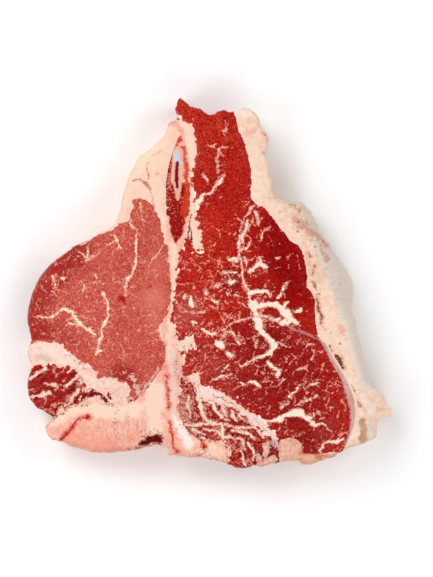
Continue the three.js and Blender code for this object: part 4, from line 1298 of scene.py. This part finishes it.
FILLET_FILM = [
    ([(-85, 11.6), (-78, 17), (-70, 21.4), (-62, 25.6)], 0.7, 1.6),
    ([(-24.5, 21.5), (-28, 16), (-32.2, 11), (-33.5, 4)], 0.6, 0.3),
]


def rolled_edge_shade(places):
    """Painted shade of the side that rolls down: strong along the left rim. Darker spots at the lower left
    join it.
    """
    rim_distance, _ = nearest_on(rim[rim_index["fillet_edge"], :2], places)
    x, y = places.T
    band = 3.0 * np.exp(-rim_distance / 11) * ramp(x, -34, -70)
    band = band + 0.5 * noise(x, y, 6, 91) * np.exp(-rim_distance / 12)
    low = patches([(-86, -24, 11, 1.0), (-72, -31, 9, 0.9), (-50, -48, 8, 1.15),
                   (-42, -52, 8, 1.15)])(places) + 1
    return np.maximum(band, low) - 1


def fillet_flecks(places):
    """Density of the flecks: some slow patches, and more of them beside the veins."""
    slow = patches([(-62, -12, 36, 0.5), (-40, 30, 20, -0.1), (-28, -10, 8, -0.6)])(places)
    return 1 + slow + beside(FILLET_VEINS, places)


build_piece("tenderloin", "tenderloin_meat", {
    # painted shade along the left side that rolls down
    "deep": rolled_edge_shade,
    "pale": patches([(-30, -8, 9, 1.6), (-28, -24, 7, 1.0), (-28, 10, 7, 1.0), (-60, -6, 16, 0.5)]),
    "fleck": fillet_flecks,
    "gap": grooves(FILLET_VEINS, 0.3),
    "tip": [([(-37.5, -60), (-40, -55), (-41, -50)], 2.4, 1.4),
            ([(-36, -58), (-31, -51), (-28, -46)], 2.0, 0.8)],
    "specks": [([(-37.5, -60), (-41, -53)], 0.2), ([(-35, -57), (-30, -50)], 0.2)],
    "thread": FILLET_THREADS + FILLET_SPURS,
    "blood": FILLET_BLOOD,
    "vein": FILLET_VEINS,
    "vein_core": core(FILLET_VEINS, 0.2),
    "border": fringe(["fillet_suet", "fillet_bone", "fillet_seam"], 1),
    "film": FILLET_FILM,
}, fillet_rose)

# %% [markdown]
# ## The T-shaped bone
# The saw has cut through a vertebra, with its flat side branch as the stem of the T and the finger bone
# at its top. Sawn bone is porous and pink where there is marrow, and cream where it is solid. Dark
# blood lies in its canals.

# %% Bone
bone_pink = meat_material(
    "bone_pink", ground=(248, 192, 170), shade=(238, 168, 146), light=(255, 214, 192), mottle=6, grain=1.6,
    gloss=0.45, speckle=0.5,
    streaks=[
        ("column", (255, 226, 206), np.pi / 2, 0.75),
        ("column", (236, 160, 142), np.pi / 2, 0.6),
        ("column", (196, 120, 104), np.pi / 2, 0.35),
    ],
    layers=[
        ("rosy", (242, 140, 120), 1.4, 1.6, 0.8, 4.0),
        ("cream", (255, 222, 200), 1.2, 1.8, 0.8, 4.0),
        ("lilac", (238, 204, 194), 1.0, 1.2, 0.8),
        ("finger", (172, 20, 10), 0.5, 0.35, 1.0),
        ("finger", (126, 0, 2), 1.9, 0.8, 0.5, 1.5),
        ("finger_orange", (206, 54, 28), 1.3, 0.7, 0.95, 1.4),
        ("finger_flecks", (240, 156, 134), 1.5, 0.15, 0.85, 1.1),
        ("capsule", (240, 178, 158), 0.5, 0.35, 0.95),
        ("marrow", (226, 104, 88), 1.2, 1.1, 0.9),
        ("marrow_core", (176, 26, 22), 1.7, 0.25, 1.0, 1.1),
        ("cartilage", (250, 236, 226), 0.8, 1.3, 0.95),
        ("cartilage_blue", (206, 206, 222), 0.3, 0.5, 0.9),
        ("dark", (112, 2, 4), 2.0, 0.35, 1.0, 1.0),
        ("brown", (166, 92, 70), 2.2, 0.7, 0.9),
        ("slit", (124, 12, 22), 0.5, 0.3, 1.0),
        ("edge", RED_EDGE, *RAGGED),
        ("edge_rose", ROSE_EDGE, *RAGGED),
        ("edge_tan", (208, 132, 116), *RAGGED),
        ("specks", (118, 54, 42), 1.35, 0.14, 0.8, 1.1),
    ])
BONE_CARTILAGE_BLUE = [([(-17.4, 70), (-17.4, 66.2)], 3)]
BONE_LILAC = [([(-20.4, -38), (-20.2, -50), (-19.6, -60), (-18.6, -70)], 3.4, 2.4),
              ([(-16.4, -45), (-15.6, -50)], 2)]
BONE_BROWN = [([(-43, -91.6), (-37, -89.8), (-31, -88.2), (-25.4, -88.2)], 3.4, 3.4),
              ([(-84.6, -73.4), (-79, -69.6), (-73, -66.8), (-66, -65)], 0.7, 0.4)]
BONE_SPECKS = [
    ([(-16, -24), (-15.5, -36), (-17, -46), (-15, -52)], 5),
    ([(-8, -31), (-11, -40)], 3.4),
    ([(-24, -24), (-24.5, -38), (-25, -46)], 2.4),
    ([(-17, -2), (-17.5, -18)], 1.4),
    ([(-8, -90), (0, -93), (6, -96)], 4),
    ([(-41, -83.4), (-34, -80.4), (-26, -81)], 3.4),
    ([(-50.4, -68), (-50, -76), (-49, -88)], 2.6),
    ([(-45, -70), (-44, -78), (-43, -86)], 2),
    ([(-23.4, -54), (-22, -68)], 2.2),
    ([(-23, 12), (-22.4, -10), (-24, -22)], 1),
]


def finger_flecks(places):
    """Flecks in the marrow of the finger bone: just outside the mask, and a little nearer to it further
    left and higher up. The rest of the bone has none."""
    in_marrow = stroke_field(FINGER_MARROW + FINGER_ORANGE[:1], places) > 0.3
    rightward = 0.02 * (places[:, 0] + 23)
    upward = 0.012 * np.clip(places[:, 1] - 40, -5, 20)
    return np.where(in_marrow, -0.5 - rightward + upward, FAR_OUTSIDE)


build_piece("t_bone", "t_bone_sawn", {
    "column": patches([(-46, -78, 12, 1.4), (-30, -78, 10, 1.3), (-60, -82, 12, 1.0), (-20, -40, 8, 0.9),
                       (-18, 0, 8, 0.8)]),
    "rosy": patches([(-74, -84, 8, 1.3), (-60, -89, 9, 1.4), (-50, -90, 6, 1.2), (-43, -87, 5, 1.1),
                     (-21, -86, 5, 0.8), (-15, 80, 6, 1.0), (-22, -35, 4, 1.0), (-23, 4, 4, 1.0),
                     (-22, -12, 4, 1.0), (-17, -46, 5, 0.9), (-22, -47, 5, 1.1), (-46, -74, 5, 0.8)]),
    "cream": BONE_CREAM,
    "lilac": BONE_LILAC,
    "finger": lambda places: stroke_field(FINGER_MARROW, places + 0.35 * (shaken(places) - places)),
    "finger_orange": FINGER_ORANGE,
    "finger_flecks": finger_flecks,
    "capsule": lambda places: stroke_field(BONE_CAPSULE, places, 0.1),
    "marrow": BONE_MARROW,
    "marrow_core": lambda places: stroke_field(BONE_MARROW, places) - 0.75,
    "cartilage": BONE_CARTILAGE,
    "cartilage_blue": BONE_CARTILAGE_BLUE,
    "brown": BONE_BROWN,
    "dark": BONE_DARK,
    "slit": lambda places: stroke_field(BONE_SLIT, places, 0.2),
    "edge": fringe(["loin_bone", "side_bone"], -1),
    "edge_rose": fringe(["fillet_bone"], -1),
    "edge_tan": fringe(["chine_bone"], -1),
    "specks": lambda places: np.minimum(stroke_field(BONE_SPECKS, places), 0) - 0.44,
}, bone_pink)

# %% [markdown]
# ## Fat
# The fat cap lies on the outside of the loin, the kidney fat above the fillet, and seams of fat part
# the muscles. Fat is nearly white with a warm cast. The flank of the cap is painted greyer: partly as
# painted shade, because it faces away from the light, and partly because it has dried. Where the top
# of the cap slopes down towards the flank, painted shade darkens it as well. Slits and pits are dug
# into the mesh and get a brown floor.

# %% Fat cap
cap_cream = meat_material(
    "cap_cream", ground=(250, 218, 195), shade=(240, 200, 178), light=(255, 230, 212), mottle=5, grain=1.6,
    gloss=0.45, relief=0.3, speckle=0.3,
    layers=[
        # the flank: painted shade, for a side facing away from the light, and the grey of dried fat
        ("flank_shade_and_dry", (234, 220, 206), 0.7, 0.7, 0.95, 3.0),
        # painted shade where the top of the cap slopes down towards the flank, and at the lower tip
        ("slope_shade", (226, 184, 162), 1.8, 1.2, 0.8, 2.6),
        ("pink", (238, 172, 154), 1.8, 1.2, 0.75, 2.4),
        ("stain", (206, 148, 122), 2.2, 0.9, 0.7, 2.2),
        ("fold", (252, 232, 218), 0.6, 0.6, 0.6),
        ("halo", (222, 166, 132), 1.6, 0.9, 0.7, 1.4),
        ("dot", (142, 84, 56), 1.0, 0.35, 0.9, 0.9),
        ("slit", (128, 58, 26), 1.1, 0.35, 1.0, 1.0),
        ("recess", (204, 156, 128), 0.9, 1.2, 0.85),
        ("edge", (176, 44, 36), *RAGGED),
    ])


FLANK_LEAN = 4.5  # mm of lean from which the side of the cap is a flank
FLANK_END = (18, 27)  # mm up the slice, the stretch over which the flank ends


def flank_shade_field(places):
    """Depth inside the sloping flank, in mm, where its grey is painted: partly shade, as it faces away
    from the light, and partly dried fat. It is the lean at the nearest rim point less the distance to
    it, where the lean is more than that of an upright rim. It ends where the cap bends towards the tail
    end. A spot near the lower tip gets the same painted grey."""
    inset, lean = rim_near(places)
    flank_shade_and_dry = np.where(lean > FLANK_LEAN, lean - inset + 0.4, -1.0) - 4 * ramp(places[:, 1], *FLANK_END)
    return np.maximum(flank_shade_and_dry, patches([(86, -80, 7, 1.5)])(places))


build_piece("fat_cap", "fat_cap_cream", {
    # painted shade and dried grey on the sloping flank
    "flank_shade_and_dry": flank_shade_field,
    # painted shade on the slopes of the cap's top, beside the flank and at the lower tip
    "slope_shade": patches([(46, 38, 9, 0.8), (57, 28, 9, 0.9), (54, 12, 7, 1.2), (58, 2, 7, 1.1),
                     (86, -74, 7, 0.7)]),
    "pink": CAP_PINK,
    "stain": CAP_STAINS,
    "fold": CAP_FOLD,
    "dot": CAP_DOTS,
    "slit": core(CAP_SLITS, 0.2),
    "halo": core(CAP_SLITS + CAP_RECESS, -0.5),
    "recess": CAP_RECESS,
    "edge": fringe(["loin_cap"], -1),
}, cap_cream)

# %% Kidney fat and the sheath round the finger bone
suet_cream = meat_material(
    "suet_cream", ground=(254, 212, 190), shade=(248, 198, 178), light=(255, 226, 204), mottle=6, grain=1.6,
    gloss=0.45, relief=0.3, speckle=0.3,
    layers=[
        ("creamy", (254, 226, 197), 0.8, 0.9, 0.9),
        ("pink", (228, 146, 132), 1.2, 1.2, 0.7),
        # painted shade in the creases, which are also dug into the mesh
        ("crease_shade", (190, 130, 86), 0.4, 0.35, 0.85),
        ("meat", (120, 16, 14), 0.8, 0.3, 1.0, 1.0),
        ("edge", (194, 62, 48), *RAGGED),
    ])
build_piece("kidney_fat", "kidney_fat_cream", {
    "creamy": patches([(-38, 67, 9, 1.3), (-30, 76, 8, 0.9)]),
    "pink": SUET_PINK,
    # painted shade along the creases
    "crease_shade": SUET_CREASES,
    "meat": SUET_MEAT,
    "edge": fringe(["loin_fascia", "fillet_suet"], -1),
}, suet_cream)

# %% Seam fat and chine fat
seam_pink = meat_material(
    "seam_pink", ground=(250, 202, 184), shade=(234, 170, 152), light=(255, 234, 220), mottle=4, grain=1.5,
    gloss=0.45, relief=0.35, speckle=0.5,
    layers=[
        ("white", (255, 228, 215), 1.2, 1.4, 0.85, 3.0),
        ("mottled", (206, 110, 98), 2.0, 0.5, 0.75, 1.2),
        ("smudge", (214, 188, 178), 0.8, 1.4, 0.75),
        ("line", (124, 78, 76), 0.9, 0.25, 0.75, 0.9),
        ("gristle", (232, 212, 206), 0.5, 0.6, 0.7),
        ("meat", (132, 10, 20), 1.4, 0.35, 1.0, 1.1),
        ("edge_rose", ROSE_EDGE, *RAGGED),
        ("edge", RED_EDGE, *RAGGED),
    ])
build_piece("seam_fat", "seam_fat_pink", {
    "smudge": SEAM_SMUDGE,
    "meat": SEAM_MEAT,
    "line": SEAM_LINES,
    "white": patches([(-88, -37, 9, 1.5), (-76, -41, 8, 1.2), (-64, -52, 6, 1.0)]),
    "mottled": [([(-74.4, -50), (-70, -52), (-69, -57)], 3, 2.4), ([(-73, -63), (-76, -67)], 2)],
    "edge": fringe(["side_seam"], -1),
    "edge_rose": fringe(["fillet_seam"], -1),
}, seam_pink)
build_piece("chine_fat", "chine_fat_pink", {
    "white": patches([(-3, -59, 5, 1.3), (5, -62, 5, 1.0), (26, -76, 6, 1.3), (31, -81, 5, 1.3)]),
    "mottled": [([(-13.5, -52.4), (-10.5, -55.4)], 2.6, 1.6), ([(-4, -53), (6, -58), (16, -63.4)], 1.2)],
    "line": [([(2, -60.6), (10, -64.4), (17, -69)], 0.4), ([(-9, -54), (-7.4, -59)], 0.5),
             ([(24, -73), (31, -80)], 0.4)],
    "gristle": CHINE_GRISTLE,
    "edge": fringe(["loin_chine", "chine_top"], -1),
}, seam_pink)

# %% Silver skin
skin_grey = meat_material(
    "skin_grey", ground=(212, 166, 156), shade=(192, 128, 120), light=(230, 192, 182), gloss=0.35,
    speckle=0.4,
    layers=[
        ("pale", (246, 220, 204), 1.0, 0.9, 0.9),
        ("red", (158, 34, 28), 1.2, 0.7, 0.85),
    ])


def pale_side(places):
    """Above 0 along the fat cap: 0.8 of the distance to the loin less 1.9 of that to the cap, and a bit."""
    from_loin = nearest_on(seam_curves["loin_skin"], places)[0]
    from_cap = nearest_on(seam_curves["skin_cap"], places)[0]
    return 0.8 * from_loin - 1.9 * from_cap - 0.2


build_piece("silver_skin", "silver_skin_grey", {
    "red": lambda places: 0.4 - nearest_on(seam_curves["loin_skin"], places)[0],
    "pale": pale_side,
}, skin_grey)

# %% Lumps along the lower edge
lump_pink = meat_material(
    "lump_pink", ground=(242, 184, 164), shade=(216, 144, 124), light=(255, 216, 196), mottle=1.9,
    grain=1.3, gloss=0.45, relief=0.9, speckle=0.7,
    layers=[
        ("tan", (237, 182, 152), 0.8, 0.9, 0.8),
        ("stain", (222, 92, 76), 1.6, 0.5, 0.7, 1.2),
        ("gap", (122, 4, 14), 0.9, 0.35, 1.0, 1.0),
        ("fleck", (206, 84, 78), 0, 0, 0.85),
        ("strand", (238, 206, 194), 0.9, 0.35, 0.9, 1.0),
    ])
LUMP_STAINS = [
    ([(49, -91.6), (55, -92.2), (62, -93.4), (68, -93.6)], 1.0),
    ([(59, -94), (60.6, -97)], 2.2, 1.0),
    ([(64.4, -95.4)], 1.4),
    ([(50, -95), (52, -97)], 1.2),
]
LUMP_STRANDS = [([(34.5, -84.4), (36.4, -87.4), (37.6, -90.4)], 1.7, 0.7),
                ([(33.4, -85), (34.8, -89)], 0.6)]
BIG_LUMP = 41  # mm, the middle of the big lump, right of which there are no gaps


def lump_gaps(places):
    """Depth into the dark meat between the crumbs, left of the big one: twice the distance to all of
    them."""
    u, v = shaken(places).T
    outside = np.min([np.hypot(u - cx, v - cy) - r for cx, cy, r, _ in LUMPS], axis=0)
    return np.where(u < BIG_LUMP, 2 * outside, -2.0)


build_piece("lower_fat", "lower_fat_lumps", {
    "gap": lump_gaps,
    "fleck": lambda places: np.where(lump_gaps(places) > 0.6, 1.2, FAR_OUTSIDE),
    "tan": patches([(56, -97, 10, 1.4), (48, -99, 8, 1.0)]),
    "stain": LUMP_STAINS,
    "strand": LUMP_STRANDS,
}, lump_pink)

# %% [markdown]
# ## Small muscles
# Below the fillet lies a small dark muscle with coarse bundles, and between the bone and the strip loin
# a muscle of the back that is laced with curved strands of fat.

# %% Side muscle
coarse_red = meat_material(
    "coarse_red", ground=(180, 12, 8), shade=(122, 0, 2), light=(200, 56, 44), mottle=2.6, relief=0.5,
    speckle=0.5,
    streaks=[("fibre", (110, 0, 0), 0.5, 0.6), ("fibre", (228, 130, 108), 0.5, 0.2)],
    layers=[
        ("pinkish", (232, 156, 138), 2.8, 0.6, 0.75, 1.2),
        ("bundle", (104, 0, 0), 1.2, 0.5, 0.6),
        ("gap", (92, 0, 0), 1.6, 0.5, 0.5, 1.1),
        ("cleft", (92, 0, 0), 0, 0, 0.7),
        ("fleck", (244, 172, 152), 0, 0, 0.9),
        ("thread", (236, 156, 132), 0.8, 0.25, 0.85, 1.0),
        ("vein", (238, 160, 138), 1.0, 0.4, 0.8),
        ("vein_core", (254, 222, 204), 1.1, 0.25, 0.97, 1.0),
        ("border", (250, 210, 194), *RAGGED),
        ("specks", (132, 62, 50), 1.4, 0.2, 0.7, 1.1),
    ])


def bundle_gaps(angle, spacing):
    """Depth into the dark lines between muscle bundles that lie side by side at an angle."""
    def field(places):
        across = across_bundles(*shaken(places).T, angle)
        return 0.5 - 0.7 * spacing * np.abs(np.sin(np.pi * (across / spacing + 0.25)))
    return field


build_piece("side_muscle", "side_muscle_meat", {
    "pinkish": [([(-70, -51), (-72, -58), (-77, -64)], 2.4, 1.6)],
    "fleck": everywhere(-1.3),
    "fibre": everywhere(1.0),
    "gap": grooves(SIDE_STREAKS, 0.35),
    "bundle": bundle_gaps(SIDE_LIE, 3),
    "thread": SIDE_THREADS,
    "vein": SIDE_STREAKS,
    "vein_core": core(SIDE_STREAKS, 0.25),
    "border": fringe(["side_seam", "side_bone"], 1),
}, coarse_red)

# %% Chine muscle
build_piece("chine_muscle", "chine_muscle_meat", {
    "fleck": lambda places: 1 + patches([(-12, -68, 7, 1.6), (-8, -80, 5, 1.2)])(places),
    "pinkish": patches([(-13.5, -60, 4.5, 1.3), (-14, -67, 4.5, 1.7), (-12.5, -74, 4.5, 1.7),
                        (-8, -80, 4, 1.5), (4, -80, 4, 0.9), (10, -88, 5, 0.9)]),
    "specks": patches([(-13, -62, 4.5, 0.5), (-13, -72, 5, 0.5), (-9, -79, 4, 0.5)]),
    "gap": grooves(CHINE_STRANDS, 0.45),
    "bundle": bundle_gaps(CHINE_LIE, 4),
    "thread": CHINE_THREADS,
    "vein": CHINE_STRANDS,
    "vein_core": core(CHINE_STRANDS, 0.25),
    "border": fringe(["chine_bone", "chine_top", "chine_lumps"], 1),
}, coarse_red)

# %% [markdown]
# ## Floor and light
# A plain pale floor and large soft lights, as in the photograph, where hardly a shadow shows. The
# picture is kept in plain screen colours, so that a colour in a material comes out as that colour under
# even white light.

# %% Stage
floor_material = bpy.data.materials.new("floor_white")
floor_material.use_nodes = True
floor_shader = floor_material.node_tree.nodes["Principled BSDF"]
floor_shader.inputs["Base Color"].default_value = (0.94, 0.94, 0.94, 1.0)
floor_shader.inputs["Roughness"].default_value = 0.9
floor_shader.inputs["Specular IOR Level"].default_value = 0.0
FLOOR_HALF, FLOOR_HEIGHT = 1.5, -0.0002  # metres: half a side, and just below the steak
corners = [(-1, -1), (1, -1), (1, 1), (-1, 1)]
floor_mesh = bpy.data.meshes.new("floor")
floor_mesh.from_pydata(
    [(FLOOR_HALF * x, FLOOR_HALF * y, FLOOR_HEIGHT) for x, y in corners], [], [(0, 1, 2, 3)])
floor_mesh.materials.append(floor_material)
floor = bpy.data.objects.new("floor", floor_mesh)
bpy.context.scene.collection.objects.link(floor)
print("floor", 2 * FLOOR_HALF, "m wide")

# %% Lights
LIGHT_SIZE = 0.7  # metres
LIGHTS = {  # place in metres and power in watts
    "key": ((-0.62, 0.62, 0.9), 7.5),
    "right": ((0.8, 0.35, 0.8), 4.1),
    "left": ((-0.8, -0.35, 0.8), 4.1),
    "front": ((0.35, -0.85, 0.85), 4.1),
}
world = bpy.data.worlds.new("studio")
bpy.context.scene.world = world
world.use_nodes = True
world.node_tree.nodes["Background"].inputs["Color"].default_value = (1.0, 1.0, 1.0, 1.0)
world.node_tree.nodes["Background"].inputs["Strength"].default_value = 0.3
for name, (place, power) in LIGHTS.items():
    light = bpy.data.lights.new(name, "AREA")
    light.size = LIGHT_SIZE
    light.energy = power
    lamp = bpy.data.objects.new(name, light)
    lamp.location = place
    towards_steak = -lamp.location
    lamp.rotation_euler = towards_steak.to_track_quat("-Z", "Y").to_euler()
    bpy.context.scene.collection.objects.link(lamp)
bpy.context.scene.view_settings.view_transform = "Standard"
print(len(LIGHTS), "soft lights")
